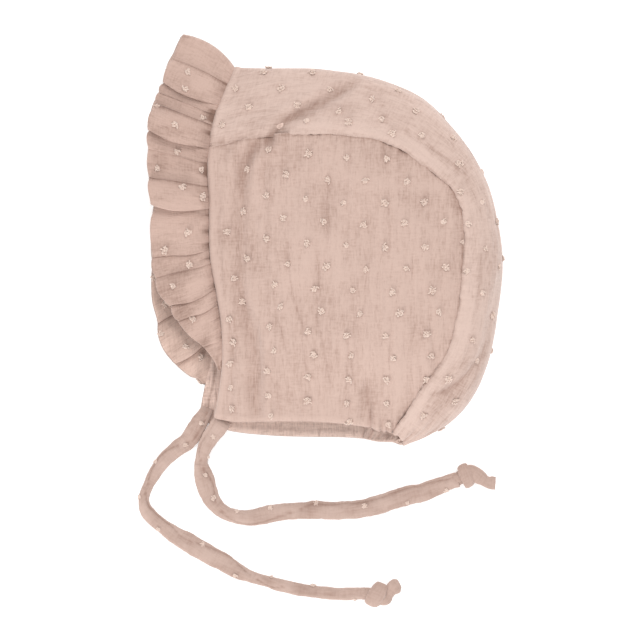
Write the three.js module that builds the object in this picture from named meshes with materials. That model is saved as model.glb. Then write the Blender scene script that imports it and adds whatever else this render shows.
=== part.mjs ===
// A baby's sun bonnet of dotted double gauze, lying on its right side as it was laid down.
// +X runs to the back of the head, +Y to the crown and +Z up from the surface. The origin is the
// middle of the bonnet's footprint, without its ties. All sizes are millimetres.
import * as THREE from 'three';

// Sizes of the bonnet as it lies.
const HEAD_DEPTH = 148; // face edge to the back of the crown
const HEAD_HEIGHT = 178.5; // neck edge to the top of the crown
const LOFT = 42; // how high the left side stands over the surface at the back
const PANEL_BULGE = 3; // how much further the middle of the left panel swells
const FACE_BOW = 2; // how far the crown strip's front edge bows out of a straight line
const FOLD_WIDTH = 6; // half the width of the widest soft fold in the cloth
const FOLD_DEPTH = 2.4; // and the depth of the deepest

// Cloth and sewing.
const CLOTH = 1.2; // gauze and lining together
const CASING_WALL = 1; // the elastic casing inside the nape
const SEAM_GAP = 0.4; // left between two pieces along a seam
const CASING_GAP = 0.5; // left between the casing and the cloth that it lines
const CASING_WIDTH = 8;
const CASING_RIB = 0.35; // depth of the casing's gathers
const CASING_RIB_WIDTH = 3.4;

// The frill. Its width comes from the table of the face edge, as a share of this one.
const FRILL_WIDTH = 29;
const FRILL_GAP = 0.8; // left between the frill and the face edge
const FRILL_FOLD = 3.4; // height of a fold at the frill's free edge
const FRILL_ROOT_FOLD = 0.9; // and where it is sewn in
const FRILL_DROOP = 3.4; // how far the upper layer's free edge hangs below its seam
const FRILL_LIFT = 0.8; // how far the lower layer's free edge rises off the surface
const FRILL_PRESSED = 0.75; // share of a fold's height that is left in the lower layer

// Ties: flat rolled strips of the same gauze, each with an overhand knot at its end.
const TIE_THICKNESS = 2.2;
const KNOT_GAP = 0.3; // between a tie's end and its knot
const KNOT_LENGTH = 17; // knot and tail
const KNOT_WIDTH = 9.5;
const KNOT_HEIGHT = 6.5;
const KNOT_REST = 0.2; // a knot's underside over the surface

// How finely the cloth is divided.
const SIDE_STEPS = 18; // along each side of a panel
const STRIP_STEPS = 11; // across the crown strip
const FRILL_STEPS = 4; // from the frill's seam to its free edge
const CASING_STEPS = 60; // round the casing
const TIE_STEPS = 48; // along a tie
const SECTION_SIDES = 10; // round a tie or a knot

// The crown strip from the face edge, over the crown, to the nape. x and y are shares of
// HEAD_DEPTH and HEAD_HEIGHT, z is a share of LOFT. A low roundness squares the strip's section.
const STRIP = [
  { seamX: 0.002, seamY: 0.776, seamZ: 0.36, rimX: 0.089, rimY: 1.001, roundness: 0.45 },
  { seamX: 0.165, seamY: 0.806, seamZ: 0.52, rimX: 0.24, rimY: 0.995, roundness: 0.55 },
  { seamX: 0.314, seamY: 0.815, seamZ: 0.68, rimX: 0.388, rimY: 0.992, roundness: 0.6 },
  { seamX: 0.466, seamY: 0.81, seamZ: 0.82, rimX: 0.544, rimY: 0.969, roundness: 0.65 },
  { seamX: 0.614, seamY: 0.785, seamZ: 0.92, rimX: 0.703, rimY: 0.919, roundness: 0.7 },
  { seamX: 0.74, seamY: 0.719, seamZ: 0.98, rimX: 0.831, rimY: 0.826, roundness: 0.75 },
  { seamX: 0.833, seamY: 0.65, seamZ: 1.0, rimX: 0.929, rimY: 0.703, roundness: 0.8 },
  { seamX: 0.867, seamY: 0.555, seamZ: 1.0, rimX: 0.984, rimY: 0.556, roundness: 0.8 },
  { seamX: 0.862, seamY: 0.44, seamZ: 1.0, rimX: 0.996, rimY: 0.437, roundness: 0.8 },
  { seamX: 0.848, seamY: 0.319, seamZ: 0.98, rimX: 0.978, rimY: 0.308, roundness: 0.75 },
  { seamX: 0.811, seamY: 0.202, seamZ: 0.92, rimX: 0.943, rimY: 0.183, roundness: 0.7 },
  { seamX: 0.747, seamY: 0.123, seamZ: 0.8, rimX: 0.886, rimY: 0.066, roundness: 0.7 },
  { seamX: 0.682, seamY: 0.042, seamZ: 0.6, rimX: 0.778, rimY: -0.014, roundness: 0.7 },
  { seamX: 0.628, seamY: -0.028, seamZ: 0.42, rimX: 0.664, rimY: -0.05, roundness: 0.7 },
];

// The same strip's seam on the lower side, as a shift from the upper seam at its two ends.
const UNDER_SEAM_SHIFT = {
  face: { x: -0.004, y: -0.003 },
  nape: { x: 0.0, y: -0.022 },
};

// The face edge from the chin corner up to the strip, on the upper and the lower side. The edge
// is in shares of HEAD_DEPTH, HEAD_HEIGHT and LOFT. The frill's free edge lies at a share of
// FRILL_WIDTH from it, at an angle in degrees up from straight forward.
const FACE = [
  { x: 0.02, y: 0.017, z: 0.16, frill: 0, angle: 0, underX: -0.027, underY: 0.014, underFrill: 0, underAngle: 0 },
  { x: 0.037, y: 0.09, z: 0.205, frill: 0, angle: 0, underX: -0.019, underY: 0.064, underFrill: 0, underAngle: 0 },
  { x: 0.049, y: 0.157, z: 0.245, frill: 0.07, angle: -22, underX: -0.007, underY: 0.115, underFrill: 0.06, underAngle: -10 },
  { x: 0.051, y: 0.224, z: 0.28, frill: 0.28, angle: -22, underX: 0.007, underY: 0.176, underFrill: 0.42, underAngle: -38 },
  { x: 0.046, y: 0.3, z: 0.31, frill: 0.6, angle: -28, underX: 0.013, underY: 0.252, underFrill: 0.82, underAngle: -35 },
  { x: 0.032, y: 0.373, z: 0.33, frill: 0.85, angle: -23, underX: 0.01, underY: 0.336, underFrill: 1.03, underAngle: -32 },
  { x: 0.015, y: 0.448, z: 0.34, frill: 1.0, angle: -16, underX: 0.003, underY: 0.42, underFrill: 1.06, underAngle: -29 },
  { x: 0.009, y: 0.518, z: 0.345, frill: 1.0, angle: -6, underX: 0.0, underY: 0.496, underFrill: 0.98, underAngle: -14 },
  { x: 0.008, y: 0.597, z: 0.35, frill: 1.02, angle: 5, underX: 0.0, underY: 0.58, underFrill: 0.97, underAngle: 0 },
  { x: 0.002, y: 0.686, z: 0.355, frill: 1.02, angle: 8, underX: -0.002, underY: 0.678, underFrill: 0.98, underAngle: 5 },
  { x: 0.002, y: 0.776, z: 0.36, frill: 1.07, angle: 17, underX: -0.002, underY: 0.773, underFrill: 1.03, underAngle: 15 },
];
const FRILL_START = 2; // the row of FACE where the frill begins

// The frill where it goes round the strip's front edge, from the seam to the fold at the top.
// The fold's own line bows up, by a share of the frill's width.
const FRILL_TOP = [
  { out: 0, frill: 1.07, angle: 17, bow: 0 },
  { out: 0.28, frill: 1.04, angle: 21, bow: 0 },
  { out: 0.62, frill: 1.02, angle: 22, bow: 0 },
  { out: 0.87, frill: 1.0, angle: 25, bow: 0.03 },
  { out: 1, frill: 1.05, angle: 33, bow: 0.11 },
];

// The frill's creases, at shares of its seam from the chin end to the fold at the top. Each fold
// rises from one crease to the next and drops steeply there.
const CREASES = [0.1, 0.22, 0.272, 0.352, 0.42, 0.51, 0.585, 0.722, 0.8, 0.87, 0.95];
const CREASE_DEPTHS = [0.6, 0.75, 0.7, 0.75, 0.8, 1, 0.7, 1.15, 0.7, 1, 0.6]; // shares of FRILL_FOLD

// The neck edge from the chin corner to the nape, upper and lower side.
const NECK = [
  { x: 0.02, y: 0.017, z: 0.16, underX: -0.027, underY: 0.014 },
  { x: 0.095, y: 0.007, z: 0.27, underX: 0.074, underY: -0.018 },
  { x: 0.213, y: 0.01, z: 0.4, underX: 0.206, underY: -0.031 },
  { x: 0.331, y: 0.008, z: 0.48, underX: 0.331, underY: -0.035 },
  { x: 0.449, y: 0.001, z: 0.5, underX: 0.449, underY: -0.036 },
  { x: 0.524, y: -0.008, z: 0.49, underX: 0.524, underY: -0.04 },
  { x: 0.578, y: -0.018, z: 0.46, underX: 0.574, underY: -0.048 },
  { x: 0.628, y: -0.028, z: 0.42, underX: 0.628, underY: -0.05 },
];

// Soft folds and dents of the upper side, from one end to the other in shares of HEAD_DEPTH and
// HEAD_HEIGHT. Their width and depth are shares of FOLD_WIDTH and FOLD_DEPTH.
const PANEL_FOLDS = [
  { fromX: 0.125, fromY: 0.75, toX: 0.186, toY: 0.08, width: 1, depth: 0.75 },
  { fromX: 0.527, fromY: 0.09, toX: 0.527, toY: -0.01, width: 1, depth: 0.5 },
];
const STRIP_FOLDS = [
  { fromX: 0.25, fromY: 0.83, toX: 0.45, toY: 0.93, width: 0.85, depth: 1 },
  { fromX: 0.985, fromY: 0.4, toX: 0.9, toY: 0.18, width: 0.75, depth: 0.65 },
];

// The middle of each tie from the chin corner that it is sewn to as far as its knot, chosen by
// hand, and the width of the strip there: it curls narrower where it bends. x and y run from the
// corner and z from the surface, all in millimetres.
const LEFT_TIE_ROUTE = [
  [5, -0.5, 6.1, 9], [1.6, -5.6, 5.3, 8.8], [-2.2, -10.6, 4.3, 8.2], [-4.8, -15.6, 3.2, 7],
  [-6, -20.5, 2.3, 6.4], [-6.1, -25, 1.6, 7.4], [-5, -30, 1.4, 9.4], [-3.2, -36, 1.4, 9.6],
  [-0.6, -41.6, 1.4, 8.4], [4.2, -46.8, 1.4, 7.2], [11.5, -49.8, 1.4, 7], [19.5, -50.3, 1.4, 8],
  [29, -48.4, 1.4, 8.8], [39, -47, 1.4, 8.4], [51, -46.4, 1.4, 8.8], [63, -46.8, 1.4, 9],
  [75, -45.6, 1.4, 9.2], [85, -43, 1.4, 9.4], [95, -40, 1.4, 9.7], [105, -37.4, 1.4, 9.2],
  [114, -34.2, 1.4, 8.2], [122.5, -31, 1.4, 7.6],
];
const RIGHT_TIE_ROUTE = [
  [2.8, 2.7, 2.65, 9], [-0.4, -1.9, 2.65, 9], [-3, -6.3, 2.3, 9.2], [-6.5, -11.1, 1.7, 9],
  [-12, -15.3, 1.4, 8], [-17, -19.7, 1.4, 7.4], [-21.6, -25.5, 1.4, 6.6], [-25.6, -32.5, 1.4, 5.6],
  [-28.2, -39.5, 1.4, 5.2], [-27, -46.1, 1.4, 6.6], [-22, -51.5, 1.4, 7.2], [-14, -57.5, 1.4, 8.2],
  [-5, -62.9, 1.4, 9.8], [2, -66.9, 1.4, 9.9], [11, -71.8, 1.4, 9.2], [18.5, -76.3, 1.4, 7.8],
  [25, -79.1, 1.4, 6], [32, -81.3, 1.4, 5.6], [40, -83.6, 1.4, 6.4], [49, -85.7, 1.4, 6.2],
  [59, -87.2, 1.4, 6.2], [69, -88.1, 1.4, 6.2], [77, -88.1, 1.4, 6.1], [83, -87.9, 1.4, 6.2],
];

// A knot from the tie's end to the tip of the tail: how far along it in shares of KNOT_LENGTH,
// and its side step, width and height in shares of KNOT_WIDTH and KNOT_HEIGHT.
const KNOT = [
  { along: 0, aside: 0, width: 0.6, height: 0.36 },
  { along: 0.06, aside: 0, width: 0.85, height: 0.75 },
  { along: 0.2, aside: 0.02, width: 1, height: 1 },
  { along: 0.38, aside: 0.06, width: 0.95, height: 0.95 },
  { along: 0.52, aside: 0.16, width: 0.7, height: 0.6 },
  { along: 0.66, aside: 0.28, width: 0.6, height: 0.36 },
  { along: 0.84, aside: 0.44, width: 0.75, height: 0.32 },
  { along: 1, aside: 0.56, width: 0.8, height: 0.28 },
];

const GAUZE = { color: 0xd6b2a4, roughness: 0.95, metalness: 0, side: THREE.DoubleSide };

// The value of a column between the rows of a table: at runs from 0 at the first row to 1 at the
// last, and the rows are joined by a smooth curve.
function between(rows, column, at) {
  const run = Math.min(Math.max(at, 0), 1) * (rows.length - 1);
  const row = Math.min(Math.floor(run), rows.length - 2);
  const f = run - row;
  const [a, b, c, d] = [row - 1, row, row + 1, row + 2].map(
    (k) => rows[Math.min(Math.max(k, 0), rows.length - 1)][column],
  );
  return b + 0.5 * f * (c - a + f * (2 * a - 5 * b + 4 * c - d + f * (3 * (b - c) + d - a)));
}

// A point given in shares of the bonnet's sizes.
function place(x, y, z) {
  return new THREE.Vector3(x * HEAD_DEPTH, y * HEAD_HEIGHT, z);
}

const FLOOR_CLOTH = CLOTH / 2; // the middle of a wall that lies on the surface

// Strip: at runs from the face edge to the nape.
function upperSeam(at) {
  const height = FLOOR_CLOTH + LOFT * between(STRIP, 'seamZ', at);
  return place(between(STRIP, 'seamX', at), between(STRIP, 'seamY', at), height);
}

function underSeam(at) {
  const { face, nape } = UNDER_SEAM_SHIFT;
  const x = between(STRIP, 'seamX', at) + THREE.MathUtils.lerp(face.x, nape.x, at);
  const y = between(STRIP, 'seamY', at) + THREE.MathUtils.lerp(face.y, nape.y, at);
  return place(x, y, FLOOR_CLOTH);
}

// How far a fold table lowers the cloth at a point of the plan.
function foldDepth(table, point) {
  let depth = 0;
  for (const fold of table) {
    const from = place(fold.fromX, fold.fromY, 0);
    const line = new THREE.Line3(from, place(fold.toX, fold.toY, 0));
    const flat = new THREE.Vector3(point.x, point.y, 0);
    const near = line.closestPointToPoint(flat, true, new THREE.Vector3());
    const away = near.distanceTo(flat) / (fold.width * FOLD_WIDTH);
    depth += fold.depth * FOLD_DEPTH * Math.exp(-(away ** 2));
  }
  return depth;
}

// The strip's section turns from the lower seam, turn 0, round its outer rim to the upper seam,
// turn pi.
function stripPoint(at, turn) {
  const top = upperSeam(at);
  const under = underSeam(at);
  const share = (1 - Math.cos(turn)) / 2;
  const rim = place(between(STRIP, 'rimX', at), between(STRIP, 'rimY', at), 0);
  const reach = Math.max(Math.sin(turn), 0) ** between(STRIP, 'roundness', at);
  const point = under.clone().lerp(top, share);
  const middle = under.clone().lerp(top, 0.5);
  point.x += (rim.x - middle.x) * reach;
  point.y += (rim.y - middle.y) * reach;
  const nearFace = Math.max(0, 1 - at * STRIP.length);
  point.x -= FACE_BOW * nearFace * Math.sin(Math.PI * reach);
  if (turn > Math.PI / 2) point.z -= foldDepth(STRIP_FOLDS, point) * share;
  return point;
}

// A panel is a smooth patch between the face edge, the neck edge and the strip's seam, which it
// meets on two of its four sides.
const PANEL_CORNER = 0.5; // where along the seam the panel's back corner lies
const LEFT_SIDE = { x: 'x', y: 'y', lifted: true };
const RIGHT_SIDE = { x: 'underX', y: 'underY', lifted: false };

function edgePoint(side, rows, at) {
  const height = side.lifted ? LOFT * between(rows, 'z', at) : 0;
  return place(between(rows, side.x, at), between(rows, side.y, at), FLOOR_CLOTH + height);
}

function panelSeam(side, at) {
  const seam = side.lifted ? upperSeam(at) : underSeam(at);
  const rim = place(between(STRIP, 'rimX', at), between(STRIP, 'rimY', at), seam.z);
  return seam.add(seam.clone().sub(rim).setLength(SEAM_GAP));
}

// A free edge of a panel, with its end drawn back to where the seam's gap begins.
function panelEdge(side, rows, at, seamAt) {
  const slip = panelSeam(side, seamAt).sub(edgePoint(side, rows, 1));
  return edgePoint(side, rows, at).addScaledVector(slip, at ** 4);
}

function panelPoint(side, u, v) {
  const neck = panelEdge(side, NECK, u, 1);
  const face = panelEdge(side, FACE, v, 0);
  const crown = panelSeam(side, u * PANEL_CORNER);
  const back = panelSeam(side, 1 - v * (1 - PANEL_CORNER));
  const point = new THREE.Vector3()
    .addScaledVector(neck, 1 - v)
    .addScaledVector(crown, v)
    .addScaledVector(face, 1 - u)
    .addScaledVector(back, u)
    .addScaledVector(edgePoint(side, NECK, 0), -(1 - u) * (1 - v))
    .addScaledVector(panelSeam(side, 1), -u * (1 - v))
    .addScaledVector(panelSeam(side, 0), -(1 - u) * v)
    .addScaledVector(panelSeam(side, PANEL_CORNER), -u * v);
  if (side.lifted) {
    point.z += PANEL_BULGE * 16 * u * (1 - u) * v * (1 - v);
    point.z -= foldDepth(PANEL_FOLDS, point) * Math.min(1, 8 * u * (1 - u));
  }
  return point;
}

// A grid of points: make(i, j) for i up to columns and j up to rows.
function gridOf(columns, rows, make) {
  return Array.from({ length: columns + 1 }, (_, i) =>
    Array.from({ length: rows + 1 }, (_, j) => make(i, j)),
  );
}

// The cloth's direction out of its face at a grid point.
function normalAt(grid, i, j) {
  const last = grid.length - 1;
  const end = grid[0].length - 1;
  const along = grid[Math.min(i + 1, last)][j].clone().sub(grid[Math.max(i - 1, 0)][j]);
  const across = grid[i][Math.min(j + 1, end)].clone().sub(grid[i][Math.max(j - 1, 0)]);
  return along.cross(across).normalize();
}

// A closed wall whose two faces lie half its thickness on each side of the grid. Where a seam
// gives the cloth's direction, that is used in place of the grid's own.
function wallOf(grid, thickness, seamNormal = () => undefined) {
  const columns = grid.length;
  const rows = grid[0].length;
  const positions = [];
  for (const side of [1, -1]) {
    grid.forEach((line, i) =>
      line.forEach((point, j) => {
        const normal = seamNormal(i, j) ?? normalAt(grid, i, j);
        const moved = point.clone().addScaledVector(normal, (side * thickness) / 2);
        positions.push(moved.x, moved.y, moved.z);
      }),
    );
  }
  const index = [];
  const front = (i, j) => i * rows + j;
  const back = (i, j) => columns * rows + i * rows + j;
  const quad = (a, b, c, d) => index.push(a, b, c, a, c, d);
  for (let i = 0; i < columns - 1; i++) {
    for (let j = 0; j < rows - 1; j++) {
      quad(front(i, j), front(i + 1, j), front(i + 1, j + 1), front(i, j + 1));
      quad(back(i, j), back(i, j + 1), back(i + 1, j + 1), back(i + 1, j));
    }
    quad(front(i, 0), back(i, 0), back(i + 1, 0), front(i + 1, 0));
    quad(front(i + 1, rows - 1), back(i + 1, rows - 1), back(i, rows - 1), front(i, rows - 1));
  }
  for (let j = 0; j < rows - 1; j++) {
    quad(front(0, j + 1), back(0, j + 1), back(0, j), front(0, j));
    quad(front(columns - 1, j), back(columns - 1, j), back(columns - 1, j + 1), front(columns - 1, j + 1));
  }
  const geometry = new THREE.BufferGeometry();
  geometry.setAttribute('position', new THREE.Float32BufferAttribute(positions, 3));
  geometry.setIndex(index);
  return geometry;
}

// The cloth's direction along the seam between a panel and the strip, the same for both.
function seamNormalAt(lifted, at) {
  if (!lifted) return new THREE.Vector3(0, 0, 1);
  const [before, after] = [Math.max(at - 0.01, 0), Math.min(at + 0.01, 1)];
  const along = upperSeam(after).sub(upperSeam(before));
  const seam = upperSeam(at);
  const rim = place(between(STRIP, 'rimX', at), between(STRIP, 'rimY', at), seam.z);
  return along.cross(rim.sub(seam)).normalize();
}

function panel(side) {
  const grid = gridOf(SIDE_STEPS, SIDE_STEPS, (i, j) =>
    panelPoint(side, i / SIDE_STEPS, j / SIDE_STEPS),
  );
  return wallOf(grid, CLOTH, (i, j) => {
    if (j === SIDE_STEPS) return seamNormalAt(side.lifted, (i / SIDE_STEPS) * PANEL_CORNER);
    if (i === SIDE_STEPS) return seamNormalAt(side.lifted, 1 - (j / SIDE_STEPS) * (1 - PANEL_CORNER));
    return undefined;
  });
}

function crownStrip() {
  const length = 2 * SIDE_STEPS;
  const grid = gridOf(length, STRIP_STEPS, (i, j) =>
    stripPoint(i / length, (Math.PI * j) / STRIP_STEPS),
  );
  return wallOf(grid, CLOTH, (i, j) => {
    if (j === 0) return seamNormalAt(false, i / length);
    if (j === STRIP_STEPS) return seamNormalAt(true, i / length).negate();
    return undefined;
  });
}

// Frill. Its seam runs from the chin end, seam 0, to the fold at the top, seam 1, on each side.
const FRILL_SEAM_TURN = 0.722; // where along it the face edge meets the crown strip

function frillPlan(seam, upper) {
  if (seam <= FRILL_SEAM_TURN) {
    const from = FRILL_START / (FACE.length - 1);
    const at = from + (1 - from) * (seam / FRILL_SEAM_TURN);
    const side = upper ? LEFT_SIDE : RIGHT_SIDE;
    const root = edgePoint(side, FACE, at);
    const width = FRILL_WIDTH * between(FACE, upper ? 'frill' : 'underFrill', at);
    const angle = between(FACE, upper ? 'angle' : 'underAngle', at);
    return { root, width, angle, bow: 0, round: 1 };
  }
  const out = (seam - FRILL_SEAM_TURN) / (1 - FRILL_SEAM_TURN);
  const later = FRILL_TOP.findIndex((row) => row.out >= out - 1e-9);
  const [a, b] = [FRILL_TOP[Math.max(later - 1, 0)], FRILL_TOP[later]];
  const f = b.out > a.out ? (out - a.out) / (b.out - a.out) : 0;
  const turn = Math.asin(Math.min(1, out ** (1 / STRIP[0].roundness)));
  return {
    root: stripPoint(0, upper ? Math.PI - turn : turn),
    width: FRILL_WIDTH * THREE.MathUtils.lerp(a.frill, b.frill, f),
    angle: THREE.MathUtils.lerp(a.angle, b.angle, f),
    bow: THREE.MathUtils.lerp(a.bow, b.bow, f),
    round: Math.cos(turn),
  };
}

// How high a fold stands at a place on the seam: it rises from one crease to the next.
function foldHeight(seam) {
  const next = CREASES.findIndex((crease) => crease > seam);
  if (next < 0) return 0;
  const from = next === 0 ? 0 : CREASES[next - 1];
  const phase = (seam - from) / (CREASES[next] - from);
  const steep = 0.82; // the share of a fold that rises, before it drops
  const profile = phase < steep ? Math.sin((Math.PI / 2) * (phase / steep)) : (1 - phase) / (1 - steep);
  return profile * CREASE_DEPTHS[next];
}

function frillPoint(seam, upper, out) {
  const { root, width, angle, bow, round } = frillPlan(seam, upper);
  const turn = THREE.MathUtils.degToRad(angle);
  const forward = new THREE.Vector3(-Math.cos(turn), Math.sin(turn), 0);
  const upward = new THREE.Vector3(Math.sin(turn), Math.cos(turn), 0);
  const point = root.clone().addScaledVector(forward, FRILL_GAP + width * out);
  point.addScaledVector(upward, width * bow * 4 * out * (1 - out));
  const fold = THREE.MathUtils.lerp(FRILL_ROOT_FOLD, FRILL_FOLD, out) * foldHeight(seam);
  const slack = Math.min(1, width / (0.5 * FRILL_WIDTH)); // the tapered ends lie flatter
  const lie = upper ? fold - FRILL_DROOP * out : FRILL_PRESSED * fold + FRILL_LIFT * out;
  point.z += lie * slack * round;
  return point;
}

// Places along the frill's seam: five to each fold, closer together round the fold at the top.
function frillPlaces() {
  const shares = [0, 0.3, 0.6, 0.82, 0.9];
  const places = [];
  [0, ...CREASES].forEach((from, k) => {
    const to = CREASES[k] ?? 1;
    for (const share of shares) places.push(from + (to - from) * share);
  });
  return places.filter((seam) => seam <= 0.95).concat([0.965, 0.98, 0.99, 0.997, 1]);
}

function frill() {
  const seams = frillPlaces();
  const line = [
    ...seams.map((seam) => ({ seam, upper: true })),
    ...seams.slice(0, -1).reverse().map((seam) => ({ seam, upper: false })),
  ];
  const grid = gridOf(line.length - 1, FRILL_STEPS, (i, j) =>
    frillPoint(line[i].seam, line[i].upper, j / FRILL_STEPS),
  );
  return wallOf(grid, CLOTH);
}

// The elastic's casing, inside the neck edge: round the nape from the left panel to the right.
const CASING_LEFT = 0.86; // where it starts along the left panel's neck edge
const CASING_RIGHT = 0.72; // and ends along the right panel's

function casingShell() {
  const deep = CASING_WIDTH / (HEAD_HEIGHT * 0.5); // share of the panel's and the strip's ends
  const third = CASING_STEPS / 3;
  return gridOf(CASING_STEPS, 3, (i, j) => {
    const v = (deep * j) / 3;
    if (i < third) return panelPoint(LEFT_SIDE, THREE.MathUtils.lerp(CASING_LEFT, 1, i / third), v);
    if (i > 2 * third)
      return panelPoint(RIGHT_SIDE, THREE.MathUtils.lerp(1, CASING_RIGHT, (i - 2 * third) / third), v);
    const turn = Math.PI * (1 - (i - third) / third);
    return stripPoint(1 - v * (1 - PANEL_CORNER), turn);
  });
}

function casing() {
  const shell = casingShell();
  const inward = CLOTH / 2 + CASING_GAP + CASING_RIB + CASING_WALL / 2;
  let run = 0;
  const lined = shell.map((line, i) => {
    if (i > 0) run += line[0].distanceTo(shell[i - 1][0]);
    const rib = CASING_RIB * Math.sin((2 * Math.PI * run) / CASING_RIB_WIDTH);
    return line.map((point, j) =>
      point.clone().addScaledVector(normalAt(shell, i, j), -(inward + rib)),
    );
  });
  return wallOf(lined, CASING_WALL);
}

// A closed body through rings of points, each ring wound the same way round the line of travel.
function loft(rings) {
  const sides = rings[0].length;
  const positions = rings.flat().flatMap((point) => point.toArray());
  const index = [];
  for (let r = 0; r < rings.length - 1; r++) {
    for (let k = 0; k < sides; k++) {
      const a = r * sides + k;
      const b = r * sides + ((k + 1) % sides);
      index.push(a, b, b + sides, a, b + sides, a + sides);
    }
  }
  const last = (rings.length - 1) * sides;
  for (let k = 1; k < sides - 1; k++) {
    index.push(0, k + 1, k, last, last + k, last + k + 1);
  }
  const geometry = new THREE.BufferGeometry();
  geometry.setAttribute('position', new THREE.Float32BufferAttribute(positions, 3));
  geometry.setIndex(index);
  return geometry;
}

// A tie: a flat strip with rounded edges, which keeps level across its width.
function tie(route) {
  const path = new THREE.CatmullRomCurve3(route.map(([x, y, z]) => new THREE.Vector3(x, y, z)));
  const widths = route.map(([, , , width]) => ({ width }));
  const rings = Array.from({ length: TIE_STEPS + 1 }, (_, step) => {
    const at = step / TIE_STEPS;
    const along = path.getTangent(at);
    const across = new THREE.Vector3(-along.y, along.x, 0).normalize();
    const up = along.clone().cross(across);
    const middle = path.getPoint(at);
    const width = between(widths, 'width', at);
    return Array.from({ length: SECTION_SIDES }, (_, k) => {
      const turn = (2 * Math.PI * (k + 0.5)) / SECTION_SIDES;
      const flat = Math.sign(Math.cos(turn)) * Math.abs(Math.cos(turn)) ** 0.6;
      return middle
        .clone()
        .addScaledVector(across, (flat * width) / 2)
        .addScaledVector(up, (Math.sin(turn) * TIE_THICKNESS) / 2);
    });
  });
  return loft(rings);
}

// A knot and its tail through the rows of KNOT along +X from the origin, with its underside at
// height 0. The tail turns to +Y, or to -Y if hand is -1.
function knot(hand) {
  const rings = KNOT.map((row) =>
    Array.from({ length: SECTION_SIDES }, (_, k) => {
      const turn = (2 * Math.PI * k) / SECTION_SIDES;
      const y = KNOT_WIDTH * (hand * row.aside + (Math.cos(turn) * row.width) / 2);
      const z = (KNOT_HEIGHT * row.height * (1 + Math.sin(turn))) / 2;
      return new THREE.Vector3(row.along * KNOT_LENGTH, y, z);
    }),
  );
  return loft(rings);
}

function piece(name, geometry) {
  const mesh = new THREE.Mesh(geometry, new THREE.MeshStandardMaterial(GAUZE));
  mesh.name = name;
  geometry.computeVertexNormals();
  return mesh;
}

// A knot in line with the end of its tie.
function knotAt(name, route, hand) {
  const mesh = piece(name, knot(hand));
  const [before, end] = route.slice(-2).map(([x, y]) => new THREE.Vector3(x, y, KNOT_REST));
  const line = end.clone().sub(before).normalize();
  mesh.rotation.z = Math.atan2(line.y, line.x);
  mesh.position.copy(end.addScaledVector(line, KNOT_GAP));
  return mesh;
}

const cloth = new THREE.Group();
cloth.add(
  piece('left_side_panel', panel(LEFT_SIDE)),
  piece('right_side_panel', panel(RIGHT_SIDE)),
  piece('crown_strip', crownStrip()),
  piece('face_frill', frill()),
  piece('nape_casing', casing()),
);
const footprint = new THREE.Box3().setFromObject(cloth);
const middle = footprint.getCenter(new THREE.Vector3());

const leftStrap = new THREE.Group();
leftStrap.add(piece('left_tie', tie(LEFT_TIE_ROUTE)), knotAt('left_knot', LEFT_TIE_ROUTE, -1));
leftStrap.position.copy(edgePoint(LEFT_SIDE, NECK, 0)).setZ(0);

const rightStrap = new THREE.Group();
rightStrap.add(piece('right_tie', tie(RIGHT_TIE_ROUTE)), knotAt('right_knot', RIGHT_TIE_ROUTE, 1));
rightStrap.position.copy(edgePoint(RIGHT_SIDE, NECK, 0)).setZ(0);

const bonnet = new THREE.Group();
bonnet.add(cloth, leftStrap, rightStrap);
bonnet.position.set(-middle.x, -middle.y, 0);

export default bonnet;
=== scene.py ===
"""A baby's sun bonnet of dusty pink dotted double gauze, lying on its right side.

+X runs to the back of the head, +Y to the crown and +Z up. Sizes are worked out in millimetres
and the meshes are made in metres.
"""
import math

import bpy
import numpy as np
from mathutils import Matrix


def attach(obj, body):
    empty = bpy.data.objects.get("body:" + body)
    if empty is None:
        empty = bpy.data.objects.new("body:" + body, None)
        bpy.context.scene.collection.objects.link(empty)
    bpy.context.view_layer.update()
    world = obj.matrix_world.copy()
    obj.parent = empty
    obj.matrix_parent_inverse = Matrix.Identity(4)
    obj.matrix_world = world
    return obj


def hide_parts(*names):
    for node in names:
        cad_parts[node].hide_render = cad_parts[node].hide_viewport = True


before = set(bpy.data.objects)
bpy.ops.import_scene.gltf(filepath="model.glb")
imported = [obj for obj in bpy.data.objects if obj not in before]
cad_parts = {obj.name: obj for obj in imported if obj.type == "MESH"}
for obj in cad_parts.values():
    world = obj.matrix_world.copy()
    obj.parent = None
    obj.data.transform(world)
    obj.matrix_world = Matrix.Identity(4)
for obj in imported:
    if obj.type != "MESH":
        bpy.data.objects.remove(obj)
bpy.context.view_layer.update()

# The view: straight down on the bonnet through a long lens, 320 mm of the table from edge to edge.
VIEW_WIDTH = 0.32
VIEW_MIDDLE = (-0.0025, -0.04075)
CAMERA_HEIGHT = 3.0
FULL_WIDTH_AT = 0.02  # the height at which the view is as wide as named
FILM_WIDTH = 36
camera_data = bpy.data.cameras.new("camera")
camera_data.sensor_width = FILM_WIDTH
camera_data.lens = FILM_WIDTH * (CAMERA_HEIGHT - FULL_WIDTH_AT) / VIEW_WIDTH
camera_data.clip_end = 30
camera = bpy.data.objects.new("camera", camera_data)
camera.location = (*VIEW_MIDDLE, CAMERA_HEIGHT)
bpy.context.scene.collection.objects.link(camera)
bpy.context.scene.camera = camera
bpy.context.scene.view_settings.view_transform = "Standard"

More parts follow.
